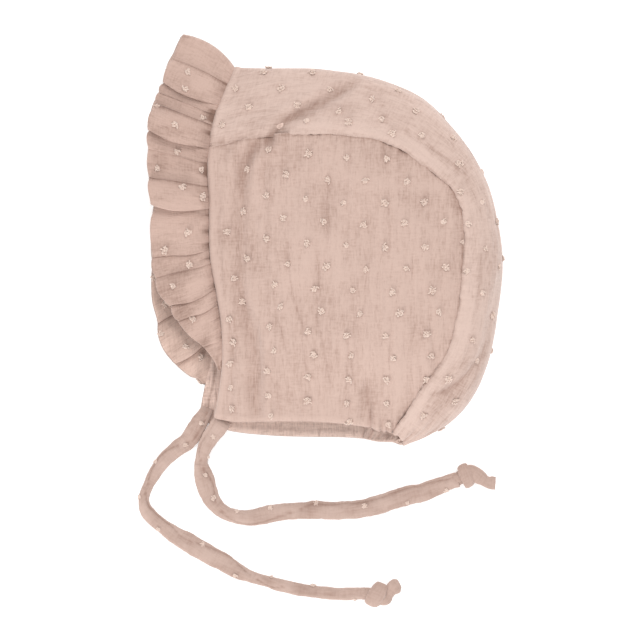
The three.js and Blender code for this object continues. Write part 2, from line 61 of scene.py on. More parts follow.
# The light: a wide soft window above the crown, a white board that fills the neck side, and an
# even white room all round.
for name, spot, size, power in (
    ("window", (0.45, 1.25, 1.75), 1.4, 22), ("board", (-0.6, -1.6, 0.6), 1.2, 19),
):
    lamp_data = bpy.data.lights.new(name, "AREA")
    lamp_data.shape = "DISK"
    lamp_data.size = size
    lamp_data.energy = power
    lamp = bpy.data.objects.new(name, lamp_data)
    lamp.location = spot
    lamp.rotation_euler = lamp.location.to_track_quat("Z", "Y").to_euler()
    bpy.context.scene.collection.objects.link(lamp)
room = bpy.data.worlds.new("room")
room.use_nodes = True
room.node_tree.nodes["Background"].inputs["Color"].default_value = (1, 1, 1, 1)
room.node_tree.nodes["Background"].inputs["Strength"].default_value = 1.0
bpy.context.scene.world = room

# The table: a plain white top, lit a little from beneath, wide enough to fill every view.
TABLE_REACH = 15
TABLE_LEVEL = -0.0002
table_mesh = bpy.data.meshes.new("table_top")
table_mesh.from_pydata(
    [(TABLE_REACH * x, TABLE_REACH * y, TABLE_LEVEL) for x, y in ((-1, -1), (1, -1), (1, 1), (-1, 1))],
    [],
    [(0, 1, 2, 3)],
)
table_top = bpy.data.objects.new("table_top", table_mesh)
bpy.context.scene.collection.objects.link(table_top)
table_paint = bpy.data.materials.new("table_paint")
table_paint.use_nodes = True
table_shader = table_paint.node_tree.nodes["Principled BSDF"]
table_shader.inputs["Base Color"].default_value = (0.93, 0.93, 0.93, 1)
table_shader.inputs["Roughness"].default_value = 0.9
table_shader.inputs["Specular IOR Level"].default_value = 0.1
table_shader.inputs["Emission Color"].default_value = (1, 1, 1, 1)
table_shader.inputs["Emission Strength"].default_value = 0.22
table_mesh.materials.append(table_paint)


# The two ties: strips of the same gauze, folded in, turned and pressed flat, 9 mm wide and about
# 20 cm long. Each is sewn in at a chin corner, wanders over the table and ends in a knot.
MM = 0.001
LEFT_CHIN = np.array([-55.861, -89.9, 0.0])  # the corners that the ties are sewn to
RIGHT_CHIN = np.array([-62.817, -90.436, 0.0])
LEFT_TIE_ROUTE = [  # x and y from the chin corner, height of the middle, width
    [5, -0.5, 6.1, 9], [1.6, -5.6, 5.3, 8.8], [-2.2, -10.6, 4.3, 8.2], [-4.8, -15.6, 3.2, 7],
    [-6, -20.5, 2.3, 6.4], [-6.1, -25, 1.6, 7.4], [-5, -30, 1.4, 9.4], [-3.2, -36, 1.4, 9.6],
    [-0.6, -41.6, 1.4, 8.4], [4.2, -46.8, 1.4, 7.2], [11.5, -49.8, 1.4, 7], [19.5, -50.3, 1.4, 8],
    [29, -48.4, 1.4, 8.8], [39, -47, 1.4, 8.4], [51, -46.4, 1.4, 8.8], [63, -46.8, 1.4, 9],
    [75, -45.6, 1.4, 9.2], [85, -43, 1.4, 9.4], [95, -40, 1.4, 9.7], [105, -37.4, 1.4, 9.2],
    [114, -34.2, 1.4, 8.2], [122.5, -31, 1.4, 7.6],
]
RIGHT_TIE_ROUTE = [
    [3.9, 5.4, 2.1, 6.4], [1.9, 1.6, 2.5, 7.4], [-0.4, -1.9, 2.65, 8.8], [-3, -6.3, 2.3, 9.2],
    [-6.5, -11.1, 1.7, 9],
    [-12, -15.3, 1.4, 8], [-17, -19.7, 1.4, 7.4], [-21.6, -25.5, 1.4, 6.6], [-25.6, -32.5, 1.4, 5.6],
    [-28.2, -39.5, 1.4, 5.2], [-27, -46.1, 1.4, 6.6], [-22, -51.5, 1.4, 7.2], [-14, -57.5, 1.4, 8.2],
    [-5, -62.9, 1.4, 9.8], [2, -66.9, 1.4, 9.9], [11, -71.8, 1.4, 9.2], [18.5, -76.3, 1.4, 7.8],
    [25, -79.1, 1.4, 6], [32, -81.3, 1.4, 5.6], [40, -83.6, 1.4, 6.4], [49, -85.7, 1.4, 6.2],
    [59, -87.2, 1.4, 6.2], [69, -88.1, 1.4, 6.2], [77, -88.1, 1.4, 6.1], [83, -87.9, 1.4, 6.2],
]
LEFT_TIE_FOLD = [  # where the folded edge lies across the tie, from -1 to 1, from chin to knot
    -0.7, -0.5, -0.62, 0.2, 0.75, 0.1, -0.55, -0.75, -0.6, -0.2, 0.5, 0.68, 0.72, 0.66, 0.6, 0.72,
    0.7, 0.62, 0.3,
]
RIGHT_TIE_FOLD = [
    0.1, 0.5, 0.3, -0.55, -0.7, -0.3, 0.5, 0.74, 0.7, 0.2, 0.55, 0.78, 0.8, 0.1, -0.7, -0.1, 0.1,
    -0.2, 0, -0.15,
]
FOLD_EDGE = 0.1  # width of the folded edge, as a share of half the tie's
SEWN_END = 4  # how much of the tie is pressed thin where it is sewn in
TIE_THICKNESS = 2.2
TIE_RINGS = 420
TIE_SIDES = 36
# The ties' pink, and the darker pink that painted shade and random tone run towards.
DUSTY_PINK = (0.448, 0.328, 0.281)
DEEP_PINK = (0.28, 0.178, 0.142)


class Strand:
    """One value or colour on its way through a material, which plain arithmetic can work on."""

    def __init__(self, tree, socket=None):
        self.tree = tree
        self.socket = socket

    def node(self, kind, inputs, output=0, **settings):
        made = self.tree.nodes.new(kind)
        for name, value in settings.items():
            setattr(made, name, value)
        for key, value in inputs.items():
            if isinstance(value, Strand):
                self.tree.links.new(value.socket, made.inputs[key])
            else:
                made.inputs[key].default_value = value
        return Strand(self.tree, made.outputs[output] if made.outputs else None)

    def maths(self, operation, a, b):
        return self.node("ShaderNodeMath", {0: a, 1: b}, operation=operation)

    def __add__(self, other):
        return self.maths("ADD", self, other)

    def __sub__(self, other):
        return self.maths("SUBTRACT", self, other)

    def __rsub__(self, other):
        return self.maths("SUBTRACT", other, self)

    def __mul__(self, other):
        return self.maths("MULTIPLY", self, other)

    def stretched(self, x, y, z):
        return self.node("ShaderNodeVectorMath", {0: self, 1: (x, y, z)}, operation="MULTIPLY")

    def cloudy(self, detail, roughness=0.5, swirl=0.0):
        inputs = {"Vector": self, "Scale": 1.0, "Detail": detail, "Roughness": roughness}
        return self.node("ShaderNodeTexNoise", {**inputs, "Distortion": swirl})

    def eased(self, low, high):
        inputs = {"Value": self, "From Min": low, "From Max": high}
        return self.node("ShaderNodeMapRange", inputs, interpolation_type="SMOOTHSTEP")

    def dyed(self, colour, other):
        """From one colour to another as this value goes from 0 to 1."""
        inputs = {0: self, 6: (*colour, 1), 7: (*other, 1)}
        return self.node("ShaderNodeMix", inputs, output=2, data_type="RGBA")


def bare_cotton(name):
    """A cotton without its colour yet, and the run of its threads over the cloth."""
    material = bpy.data.materials.new(name)
    material.use_nodes = True
    tree = material.node_tree
    tree.nodes.clear()
    return material, Strand(tree).node("ShaderNodeAttribute", {}, output=1, attribute_name="cloth")


def finish_cotton(colour, height, relief_strength, relief_depth, dryness):
    """Colour, the relief of the threads, and roughness, gloss, nap and the nap's softness."""
    bump = {"Height": height, "Strength": relief_strength, "Distance": relief_depth}
    relief = height.node("ShaderNodeBump", bump)
    names = ("Roughness", "Specular IOR Level", "Sheen Weight", "Sheen Roughness")
    inputs = {"Base Color": colour, "Normal": relief, **dict(zip(names, dryness))}
    shader = relief.node("ShaderNodeBsdfPrincipled", inputs)
    shader.node("ShaderNodeOutputMaterial", {"Surface": shader})


def gauze(name, pink, deep, crinkle=1.0, streaks=1.0):
    """Washed cotton gauze: an open weave with fine crinkles along the warp, and a matt nap."""
    material, cloth = bare_cotton(name)
    shade = cloth.node("ShaderNodeAttribute", {}, output=2, attribute_name="shade")
    creases = cloth.stretched(430, 55, 90).cloudy(4.0, 0.66, 0.9)
    threads = cloth.stretched(1300, 240, 90).cloudy(2.0, 0.6)
    picks = cloth.stretched(260, 1150, 90).cloudy(1.0)
    mottle = cloth.stretched(34, 40, 60).cloudy(3.0, 0.55)
    slubs = cloth.stretched(24, 600, 60).cloudy(2.0, 0.4).eased(0.62, 0.8)
    # Painted shade: the colour darkens in the hollows of the crinkles and threads and as the cloth's shade
    # attribute says; the mottle and slubs are the cloth's own random tone.
    hollow = (0.5 - creases) + (0.5 - threads) + (0.5 - picks) * 0.65
    depth = (hollow * streaks + (0.5 - mottle) * 0.75 + slubs * 0.07 + 0.26 + shade).eased(0.0, 1.25)
    colour = depth.dyed(pink, deep)
    height = creases * (0.5 * crinkle) + threads * 0.22 + picks * 0.16
    finish_cotton(colour, height, 0.8, 0.0012, (0.92, 0.18, 0.28, 0.45))
    return material


def between(rows, at):
    """The values between the rows of a table, as at runs from 0 at the first row to 1 at the last."""
    rows = np.asarray(rows, float)
    run = np.clip(at, 0, 1) * (len(rows) - 1)
    row = np.minimum(np.floor(run).astype(int), len(rows) - 2)
    f = np.asarray(run - row)[..., None]
    a, b, c, d = (rows[np.clip(row + step, 0, len(rows) - 1)] for step in (-1, 0, 1, 2))
    return b + 0.5 * f * (c - a + f * (2 * a - 5 * b + 4 * c - d + f * (3 * (b - c) + d - a)))


def rumple(x, y, seed):
    """Smooth unevenness from -1 to 1, about one bump to a unit of x and of y."""
    lattice = np.random.default_rng(seed).uniform(-1, 1, (128, 128))
    column = np.floor(x).astype(int)
    row = np.floor(y).astype(int)
    f = x - column
    g = y - row
    f = f * f * (3 - 2 * f)
    g = g * g * (3 - 2 * g)
    near = lattice[column % 128, row % 128] * (1 - f) + lattice[(column + 1) % 128, row % 128] * f
    far = (
        lattice[column % 128, (row + 1) % 128] * (1 - f)
        + lattice[(column + 1) % 128, (row + 1) % 128] * f
    )
    return near * (1 - g) + far * g


def unit(vectors):
    size = np.linalg.norm(vectors, axis=-1, keepdims=True)
    return vectors / np.maximum(size, 1e-9)


def lengths(points):
    """How far along a line each of its points lies."""
    steps = np.linalg.norm(np.diff(points, axis=0), axis=1)
    return np.concatenate([[0], np.cumsum(steps)])


def sew(name, points, faces, finishes, finish_of_face, cloth, shade):
    """A piece of cloth from its points in millimetres, with its weave's run and its shade."""
    mesh = bpy.data.meshes.new(name)
    mesh.from_pydata((np.asarray(points) * MM).tolist(), [], faces)
    for finish in finishes:
        mesh.materials.append(finish)
    mesh.polygons.foreach_set("material_index", finish_of_face)
    mesh.polygons.foreach_set("use_smooth", [True] * len(mesh.polygons))
    weave = mesh.attributes.new("cloth", "FLOAT_VECTOR", "POINT")
    weave.data.foreach_set("vector", (np.asarray(cloth) * MM).ravel())
    depth = mesh.attributes.new("shade", "FLOAT", "POINT")
    depth.data.foreach_set("value", np.asarray(shade, float).ravel())
    mesh.update()
    piece = bpy.data.objects.new(name, mesh)
    bpy.context.scene.collection.objects.link(piece)
    return piece


def tube(rings):
    """The faces of a closed tube through rings of points, the ends covered."""
    count, sides = rings.shape[:2]
    faces = []
    for r in range(count - 1):
        for k in range(sides):
            a = r * sides + k
            b = r * sides + (k + 1) % sides
            faces.append((a, b, b + sides, a + sides))
    last = (count - 1) * sides
    faces.append(tuple(range(sides))[::-1])
    faces.append(tuple(range(last, last + sides)))
    return faces


tie_gauze = gauze("tie_gauze", DUSTY_PINK, DEEP_PINK, crinkle=0.6, streaks=0.6)


def tie(name, route, fold_line, chin, seed):
    """One tie: its piece and the line along its middle, in metres."""
    run = between(route, np.linspace(0, 1, TIE_RINGS))
    middle = run[:, :3] + chin
    pressed = np.clip(lengths(middle) / SEWN_END, 0, 1) ** 0.7
    middle[:, 2] -= (1 - pressed) * 0.9
    width = run[:, 3]
    along = unit(np.gradient(middle, axis=0))
    across = unit(np.stack([-along[:, 1], along[:, 0], np.zeros(TIE_RINGS)], 1))
    up = np.cross(along, across)
    far = lengths(middle)
    turn = 2 * math.pi * (np.arange(TIE_SIDES) + 0.5) / TIE_SIDES
    flat = np.sign(np.cos(turn)) * np.abs(np.cos(turn)) ** 0.6
    thick = np.sin(turn)
    s = far[:, None] + 0 * flat
    a = flat + 0 * s
    top = np.clip(thick, 0, 1) ** 0.5 + 0 * s
    fold = between(np.array(fold_line)[:, None], s[:, 0] / far[-1]) + 0.06 * rumple(s / 9, s * 0, seed)
    fold_edge = np.exp(-(((a - fold) / FOLD_EDGE) ** 2))
    crease = 0.45 * fold_edge + 0.16 * np.tanh((a - fold) * np.sign(fold) / 0.09)
    puff = 0.3 * np.cos(a * 1.5) + 0.25 * rumple(s / 11, a + 3, seed + 9)
    wrinkle = 0.3 * rumple(s / 4.3, a * 1.3 + 5, seed + 3)
    wrinkle = wrinkle + 0.18 * rumple(s / 1.8, a * 1.9 + 9, seed + 4)
    lift = top * (puff - crease + wrinkle)
    side = np.sign(a) * 3
    edge = 1 + 0.06 * rumple(s / 5, side, seed + 5) + 0.03 * rumple(s / 1.7, side, seed + 6)
    rings = (
        middle[:, None]
        + across[:, None] * (flat * edge * width[:, None] / 2)[..., None]
        + up[:, None] * ((thick * TIE_THICKNESS / 2 + lift) * (0.35 + 0.65 * pressed[:, None]))[..., None]
    )
    rings[..., 2] = np.maximum(rings[..., 2], 0.12)
    cloth = np.stack([a * width[:, None] / 2, s, 0 * s + 30 * np.sign(thick)], -1)
    # Painted shade along the folded edge, lighter towards the sewn end, and random tone.
    shade = 0.08 - 0.3 * np.exp(-s / 9) + top * (0.5 * fold_edge + 0.3 * rumple(s / 9, a + 1, seed + 7))
    piece = sew(name, rings.reshape(-1, 3), tube(rings), [tie_gauze],
                [0] * ((TIE_RINGS - 1) * TIE_SIDES + 2), cloth.reshape(-1, 3), shade)
    return piece, middle * MM


left_tie, left_line = tie("left_tie_gauze", LEFT_TIE_ROUTE, LEFT_TIE_FOLD, LEFT_CHIN, 11)
right_tie, right_line = tie("right_tie_gauze", RIGHT_TIE_ROUTE, RIGHT_TIE_FOLD, RIGHT_CHIN, 21)


# The knots: each tie is knotted once on itself close to its end. One turn wraps the strand as a
# band, and past it the raw end stands out as a short soft tail.
LEFT_KNOT = [  # along the tie, aside, height, width of the strand, its thickness
    [-1.5, 0, 1.5, 7.2, 2.2], [1, 0.2, 1.9, 6.4, 3], [4, 0.8, 2.5, 7, 4.2], [7, 0.7, 2.9, 8.4, 4.6],
    [9.4, -1.2, 2.9, 7.8, 4.4], [11.2, -3.6, 2.7, 6.8, 3.8], [12.6, -5.6, 2.3, 5.6, 2.8],
    [14, -6.9, 2.1, 6, 2.2], [15.4, -7.7, 1.9, 6.6, 2], [17.2, -8.5, 1.7, 6.6, 1.7],
]
RIGHT_KNOT = [
    [-1.5, 0, 1.5, 6.2, 2.2], [1, 0, 1.9, 6, 3], [4, -0.6, 2.4, 7, 4], [7.6, -2.2, 2.6, 7.4, 4.4],
    [10, -2.6, 2.5, 7.4, 4.2], [11.4, -1.2, 2.4, 5.6, 3.6], [12.6, 0.7, 2.5, 6, 3.8],
    [14.4, 2.6, 2.6, 7.6, 4.4], [16, 3.7, 2.3, 7.2, 4], [17.4, 4.4, 2, 5, 2.6],
]
LEFT_BAND = (4.6, 0.3, 5.2, 5.5, 8)  # along the tie, aside, reach to each side, width, slant
RIGHT_BAND = (5.6, -0.6, 5.6, 7.6, -26)
BAND_HEIGHT = 2.9
KNOT_RINGS = 110
KNOT_SIDES = 24


def wound(middle, across, width, thickness, seed):
    """Rings of points round a soft strand, a little ribbed by its gathers."""
    up = unit(np.cross(unit(np.gradient(middle, axis=0)), across))
    turn = 2 * math.pi * np.arange(KNOT_SIDES) / KNOT_SIDES
    s = lengths(middle)[:, None] + 0 * turn
    ribs = 1 + 0.1 * rumple(s / 5, turn * 1.6 + 2, seed) + 0.05 * rumple(s / 1.9, turn * 2.2 + 2, seed + 1)
    wide = np.sign(np.cos(turn)) * np.abs(np.cos(turn)) ** 0.75
    rings = (
        middle[:, None]
        + across[:, None] * (wide * ribs * width[:, None] / 2)[..., None]
        + up[:, None] * (np.sin(turn) * ribs * thickness[:, None] / 2)[..., None]
    )
    cloth = np.stack([np.cos(turn) * 3 + 0 * s, s, 0 * s], -1)
    # Painted shade in the hollows between the ribs.
    return rings, cloth, 0.12 + 0.8 * np.clip(1 - ribs, 0, 1)


def knot(name, route, chin, core, band, seed):
    """A knot in line with the end of its tie: the wrapped strand with its tail, and the band."""
    run = between(core, np.linspace(0, 1, KNOT_RINGS))
    along = np.gradient(run[:, :2], axis=0)
    across = unit(np.stack([-along[:, 1], along[:, 0], 0 * along[:, 0]], 1))
    strand = wound(run[:, :3], across, run[:, 3], run[:, 4], seed)
    place_along, aside, reach, width, slant = band
    round_it = np.radians(np.linspace(-110, 262, KNOT_RINGS))
    ahead = np.array([math.cos(math.radians(slant)), math.sin(math.radians(slant)), 0.0])
    left = np.array([-ahead[1], ahead[0], 0.0])
    middle = (
        np.array([place_along, aside, BAND_HEIGHT])
        + left * (reach * np.cos(round_it))[:, None]
        + ahead * (0.5 * np.cos(round_it))[:, None]
    )
    middle[:, 2] += (BAND_HEIGHT - 0.9) * np.sin(round_it)
    narrowed = width * (1 - 0.12 * np.cos(2 * round_it))
    wrap = wound(middle, ahead + 0 * middle, narrowed, 1.9 + 0 * narrowed, seed + 5)
    rings = np.concatenate([strand[0], wrap[0]])
    before, end = np.asarray(route)[-2:, :2] + chin[:2]
    line = unit(end - before)
    plan = rings[..., :1] * line + rings[..., 1:2] * [-line[1], line[0]] + end
    rings = np.concatenate([plan, np.maximum(rings[..., 2:], 0.15)], -1)
    second = KNOT_RINGS * KNOT_SIDES
    faces = tube(rings[:KNOT_RINGS])
    faces += [tuple(second + k for k in face) for face in tube(rings[KNOT_RINGS:])]
    cloth = np.concatenate([strand[1], wrap[1]])
    shade = np.concatenate([strand[2], wrap[2]])
    points = rings.reshape(-1, 3)
    return sew(name, points, faces, [tie_gauze], [0] * len(faces), cloth.reshape(-1, 3), shade)


left_knot = knot("left_knot_gauze", LEFT_TIE_ROUTE, LEFT_CHIN, LEFT_KNOT, LEFT_BAND, 31)
right_knot = knot("right_knot_gauze", RIGHT_TIE_ROUTE, RIGHT_CHIN, RIGHT_KNOT, RIGHT_BAND, 41)
for strap, line, tied in ((left_tie, left_line, left_knot), (right_tie, right_line, right_knot)):
    side = strap.name.split("_")[0]
    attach(strap, "root")
    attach(tied, "root")
    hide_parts(side + "_tie")
    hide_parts(side + "_knot")


# The left side panel, on top: a D of dotted gauze with its plain lining, sewn to the crown strip
# along its curved edge. Its face edge laps the frill and its neck edge is turned in.
HEAD_DEPTH = 148
HEAD_HEIGHT = 178.5
LOFT = 42  # how far the upper seam rises over the lower one
CLOTH = 1.2
FLOOR_CLOTH = CLOTH / 2
BONNET_MIDDLE = np.array([58.821, 92.935, 0.0])
PANEL_BULGE = 3  # how far the panel swells over its edges
PANEL_CORNER = 0.5  # place along the seam where crown and back meet
FOLD_WIDTH = 6  # of a soft fold of size 1
FOLD_DEPTH = 2.4
STRIP = [  # seam x, seam y, seam height, rim x, rim y, roundness
    [0.002, 0.776, 0.36, 0.089, 1.001, 0.45], [0.165, 0.806, 0.52, 0.24, 0.995, 0.55],
    [0.314, 0.815, 0.68, 0.388, 0.992, 0.6], [0.466, 0.81, 0.82, 0.544, 0.969, 0.65],
    [0.614, 0.785, 0.92, 0.703, 0.919, 0.7], [0.74, 0.719, 0.98, 0.831, 0.826, 0.75],
    [0.833, 0.65, 1.0, 0.929, 0.703, 0.8], [0.867, 0.555, 1.0, 0.984, 0.556, 0.8],
    [0.862, 0.44, 1.0, 0.996, 0.437, 0.8], [0.848, 0.319, 0.98, 0.978, 0.308, 0.75],
    [0.811, 0.202, 0.92, 0.943, 0.183, 0.7], [0.747, 0.123, 0.8, 0.886, 0.066, 0.7],
    [0.682, 0.042, 0.6, 0.778, -0.014, 0.7], [0.628, -0.028, 0.42, 0.664, -0.05, 0.7],
]
UNDER_SHIFT_FACE = np.array([-0.004, -0.003])  # from the upper seam to the lower, at each end
UNDER_SHIFT_NAPE = np.array([0.0, -0.022])
FACE = [  # x, y, height, frill, angle, then x, y, frill, angle of the lower side
    [0.02, 0.017, 0.16, 0, 0, -0.027, 0.014, 0, 0],
    [0.037, 0.09, 0.205, 0, 0, -0.019, 0.064, 0, 0],
    [0.049, 0.157, 0.245, 0.07, -22, -0.007, 0.115, 0.06, -10],
    [0.051, 0.224, 0.28, 0.28, -22, 0.007, 0.176, 0.42, -38],
    [0.046, 0.3, 0.31, 0.6, -28, 0.013, 0.252, 0.82, -35],
    [0.032, 0.373, 0.33, 0.85, -23, 0.01, 0.336, 1.03, -32],
    [0.015, 0.448, 0.34, 1.0, -16, 0.003, 0.42, 1.06, -29],
    [0.009, 0.518, 0.345, 1.0, -6, 0.0, 0.496, 0.98, -14],
    [0.008, 0.597, 0.35, 1.02, 5, 0.0, 0.58, 0.97, 0],
    [0.002, 0.686, 0.355, 1.02, 8, -0.002, 0.678, 0.98, 5],
    [0.002, 0.776, 0.36, 1.07, 17, -0.002, 0.773, 1.03, 15],
]
NECK = [  # x, y, height, then x and y of the lower side
    [0.02, 0.017, 0.16, -0.027, 0.014], [0.095, 0.007, 0.27, 0.074, -0.018],
    [0.213, 0.01, 0.4, 0.206, -0.031], [0.331, 0.008, 0.48, 0.331, -0.035],
    [0.449, 0.001, 0.5, 0.449, -0.036], [0.524, -0.008, 0.49, 0.524, -0.04],
    [0.578, -0.018, 0.46, 0.574, -0.048], [0.628, -0.028, 0.42, 0.628, -0.05],
]
PANEL_FOLDS = [  # from x, y to x, y in shares of the bonnet, then width and depth of the dent
    [0.125, 0.75, 0.186, 0.08, 1, 0.75], [0.527, 0.09, 0.527, -0.01, 1, 0.5],
]
WRINKLES = [  # fine creases that washing has left, as x and y along each
    [(-27.7, -36), (-22.6, -42.8), (-19.8, -53), (-18, -62)],
    [(-6.1, -33.7), (-2.7, -44), (-0.5, -54), (1.2, -64), (3, -73.5)],
    [(-18.6, -0.7), (-18, -14.4), (-15.8, -28), (-13, -38), (-8.5, -49.6), (-6.1, -59.8)],
    [(-4, -4.2), (-3.3, -17.8), (-2.7, -29.2)], [(20, -4.2), (20.5, -19), (19.4, -38)],
    [(-27.7, -65.5), (-25.5, -72), (-23.7, -79)], [(12, -54), (14.3, -69), (15.5, -80)],
    [(-24, 34), (-25.5, 20), (-24.6, 4)], [(2, 30), (1, 16), (2.4, 4)], [(31, 20), (32.5, 2), (31.6, -14)],
    [(44, -2), (43, -18), (44.5, -34)], [(33, -50), (32, -62), (33.4, -74)],
]
STRIP_VALLEY = [  # where the cloth sinks beside the crown strip
    (-28, 50), (-37.5, 43), (-41.5, 32), (-43, 15), (-43.5, -5), (-42, -26), (-39, -39.5), (-36, -51),
    (-34.5, -64), (-35.5, -75), (-34, -88),
]
NAPE_VALLEY = [(21.6, -72), (22.4, -84), (23.2, -96.5)]
PUCKERS = [  # x, y, size and shade of each small hollow along the seam
    (64.5, 21, 4, 0.26), (67.3, 14.5, 2.6, 0.34), (41.5, 44.5, 3, 0.24), (50, 39, 3, 0.16),
]
PANEL_CLOTH = 0.9
PANEL_CRINKLE = 0.55  # height of the crinkles that washing leaves
VALLEY_DEPTH = 2.4
VALLEY_WIDTH = 3.2
WRINKLE_DEPTH = 0.35
NAPE_GATHER = 2.9  # from one gather of the drawn-up neck edge to the next
PANEL_STEPS = 252  # a multiple of LINING_STEP
LINING_STEP = 4  # steps of the outer face to one of the lining
LINE_POINTS = 40  # to a crease drawn through a few places
EDGE_POINTS = 60
SEAM_POINTS = 160
LINING_DROP = 0.35  # the lining hangs this much below the outer layer
# The gauze's pink; the darker pink that painted shade and random mottle run towards; and the lining's pink,
# made paler than the gauze as painted light where the lining lies in shade.
LIGHT_PINK = (0.482, 0.351, 0.3)
WARM_PINK = (0.29, 0.186, 0.15)
PALE_PINK = (0.74, 0.56, 0.485)


def place(x, y, z):
    """A point of the bonnet from shares of its sizes and a height."""
    return np.stack(np.broadcast_arrays(x * HEAD_DEPTH, y * HEAD_HEIGHT, z), -1) - BONNET_MIDDLE


def upper_seam(at):
    row = between(STRIP, at)
    return place(row[..., 0], row[..., 1], FLOOR_CLOTH + LOFT * row[..., 2])


def under_seam(at):
    row = between(STRIP, at)
    at = np.asarray(at)
    shift = UNDER_SHIFT_FACE + (UNDER_SHIFT_NAPE - UNDER_SHIFT_FACE) * at[..., None]
    return place(row[..., 0] + shift[..., 0], row[..., 1] + shift[..., 1], FLOOR_CLOTH)


def rim_line(at, height):
    row = between(STRIP, at)
    return place(row[..., 3], row[..., 4], height)


def dents(folds, points):
    """How far soft folds lower the cloth."""
    depth = 0
    for x0, y0, x1, y1, width, deep in folds:
        start = place(x0, y0, 0)[:2]
        line = place(x1, y1, 0)[:2] - start
        share = np.clip(((points[..., :2] - start) @ line) / (line @ line), 0, 1)
        away = np.linalg.norm(points[..., :2] - start - share[..., None] * line, axis=-1)
        depth = depth + deep * FOLD_DEPTH * np.exp(-((away / (width * FOLD_WIDTH)) ** 2))
    return depth


def panel_seam(lifted, at):
    return upper_seam(at) if lifted else under_seam(at)


def free_edge(rows, lifted, at):
    row = between(rows, at)
    if lifted:
        return place(row[..., 0], row[..., 1], FLOOR_CLOTH + LOFT * row[..., 2])
    under = 5 if len(rows[0]) > 5 else 3
    return place(row[..., under], row[..., under + 1], FLOOR_CLOTH)


def panel_points(lifted, u, v):
    """The middle of a panel's cloth: u runs from the face edge back, v from the neck edge up."""
    neck_end = panel_seam(lifted, 1.0) - free_edge(NECK, lifted, 1.0)
    face_end = panel_seam(lifted, 0.0) - free_edge(FACE, lifted, 1.0)
    neck = free_edge(NECK, lifted, u) + neck_end * u[..., None] ** 4
    face = free_edge(FACE, lifted, v) + face_end * v[..., None] ** 4
    crown = panel_seam(lifted, u * PANEL_CORNER)
    back = panel_seam(lifted, 1 - v * (1 - PANEL_CORNER))
    u = u[..., None]
    v = v[..., None]
    points = neck * (1 - v) + crown * v + face * (1 - u) + back * u
    points = points - free_edge(NECK, lifted, 0.0) * (1 - u) * (1 - v)
    points = points - panel_seam(lifted, 1.0) * u * (1 - v)
    points = points - panel_seam(lifted, 0.0) * (1 - u) * v
    points = points - panel_seam(lifted, PANEL_CORNER) * u * v
    if lifted:
        u = u[..., 0]
        v = v[..., 0]
        points[..., 2] += PANEL_BULGE * 16 * u * (1 - u) * v * (1 - v)
        points[..., 2] -= dents(PANEL_FOLDS, points) * np.minimum(1, 8 * u * (1 - u))
    return points


def normals_of(grid):
    return unit(np.cross(np.gradient(grid, axis=0), np.gradient(grid, axis=1)))


def nearest(points, line):
    """How far each point is from a line of points in plan, and how far along the line that is."""
    line = np.asarray(line, float)[:, :2]
    runs = lengths(line)
    best = np.full(points.shape[:-1], np.inf)
    along = np.zeros(points.shape[:-1])
    for a, b, run in zip(line[:-1], line[1:], runs):
        step = b - a
        size = step @ step
        share = np.clip(((points[..., :2] - a) @ step) / size, 0, 1)
        away = np.linalg.norm(points[..., :2] - a - share[..., None] * step, axis=-1)
        closer = away < best
        best = np.where(closer, away, best)
        along = np.where(closer, run + share * math.sqrt(size), along)
    return best, along


def smooth_line(points):
    return between(points, np.linspace(0, 1, LINE_POINTS))


def edge_away(points, rows, lifted):
    """How far a panel's points are from its face edge or its neck edge."""
    return nearest(points, free_edge(rows, lifted, np.linspace(0, 1, EDGE_POINTS)))[0]


def dip(away, width):
    return np.exp(-((away / width) ** 2))


def cloth_wall(name, grid, thickness, finishes, cloth, shade, lining_step=LINING_STEP, drop=LINING_DROP):
    """A closed wall of cloth about a grid: a fine outer face, a rounded edge and a lining."""
    normal = normals_of(grid)
    columns, rows = grid.shape[:2]
    number = np.arange(columns * rows).reshape(columns, rows)
    outer = grid + normal * (thickness / 2)
    inner = (grid - normal * (thickness / 2 + drop))[::lining_step, ::lining_step]
    border = np.concatenate([number[:-1, 0], number[-1, :-1], number[:0:-1, -1], number[0, :0:-1]])
    flat = grid.reshape(-1, 3)
    ahead = np.roll(border, -1)
    behind = np.roll(border, 1)
    tangent = flat[ahead] - flat[behind]
    outward = unit(np.cross(tangent, normal.reshape(-1, 3)[border]))
    edge = flat[border] + outward * (thickness * 0.42)
    points = np.concatenate([outer.reshape(-1, 3), edge, inner.reshape(-1, 3)])
    first_edge = columns * rows
    first_inner = first_edge + len(border)
    across = inner.shape[1]
    corners = [number[:-1, :-1], number[1:, :-1], number[1:, 1:], number[:-1, 1:]]
    faces = np.stack([corner.ravel() for corner in corners], 1).tolist()
    kinds = [0] * len(faces)
    count = len(border)
    for k in range(count):
        after = (k + 1) % count
        faces.append((border[k], first_edge + k, first_edge + after, border[after]))
        kinds.append(0)
    spot = first_inner + (border // rows // lining_step) * across + (border % rows) // lining_step
    for k in range(0, count, lining_step):
        ring = [first_edge + (k + step) % count for step in range(lining_step + 1)]
        faces.append([*ring[::-1], spot[k], spot[(k + lining_step) % count]])
        kinds.append(0)
    number = first_inner + np.arange(inner.shape[0] * across).reshape(-1, across)
    corners = [number[:-1, :-1], number[:-1, 1:], number[1:, 1:], number[1:, :-1]]
    lining = np.stack([corner.ravel() for corner in corners], 1).tolist()
    faces.extend(lining)
    kinds.extend([len(finishes) - 1] * len(lining))
    run = np.concatenate([
        cloth.reshape(-1, 3),
        cloth.reshape(-1, 3)[border],
        (cloth + [0, 0, 50])[::lining_step, ::lining_step].reshape(-1, 3),
    ])
    depth = np.concatenate([
        shade.ravel(), shade.ravel()[border], 0.05 + 0.5 * shade[::lining_step, ::lining_step].ravel(),
    ])
    return sew(name, points, faces, finishes, kinds, run, depth), outer, normal


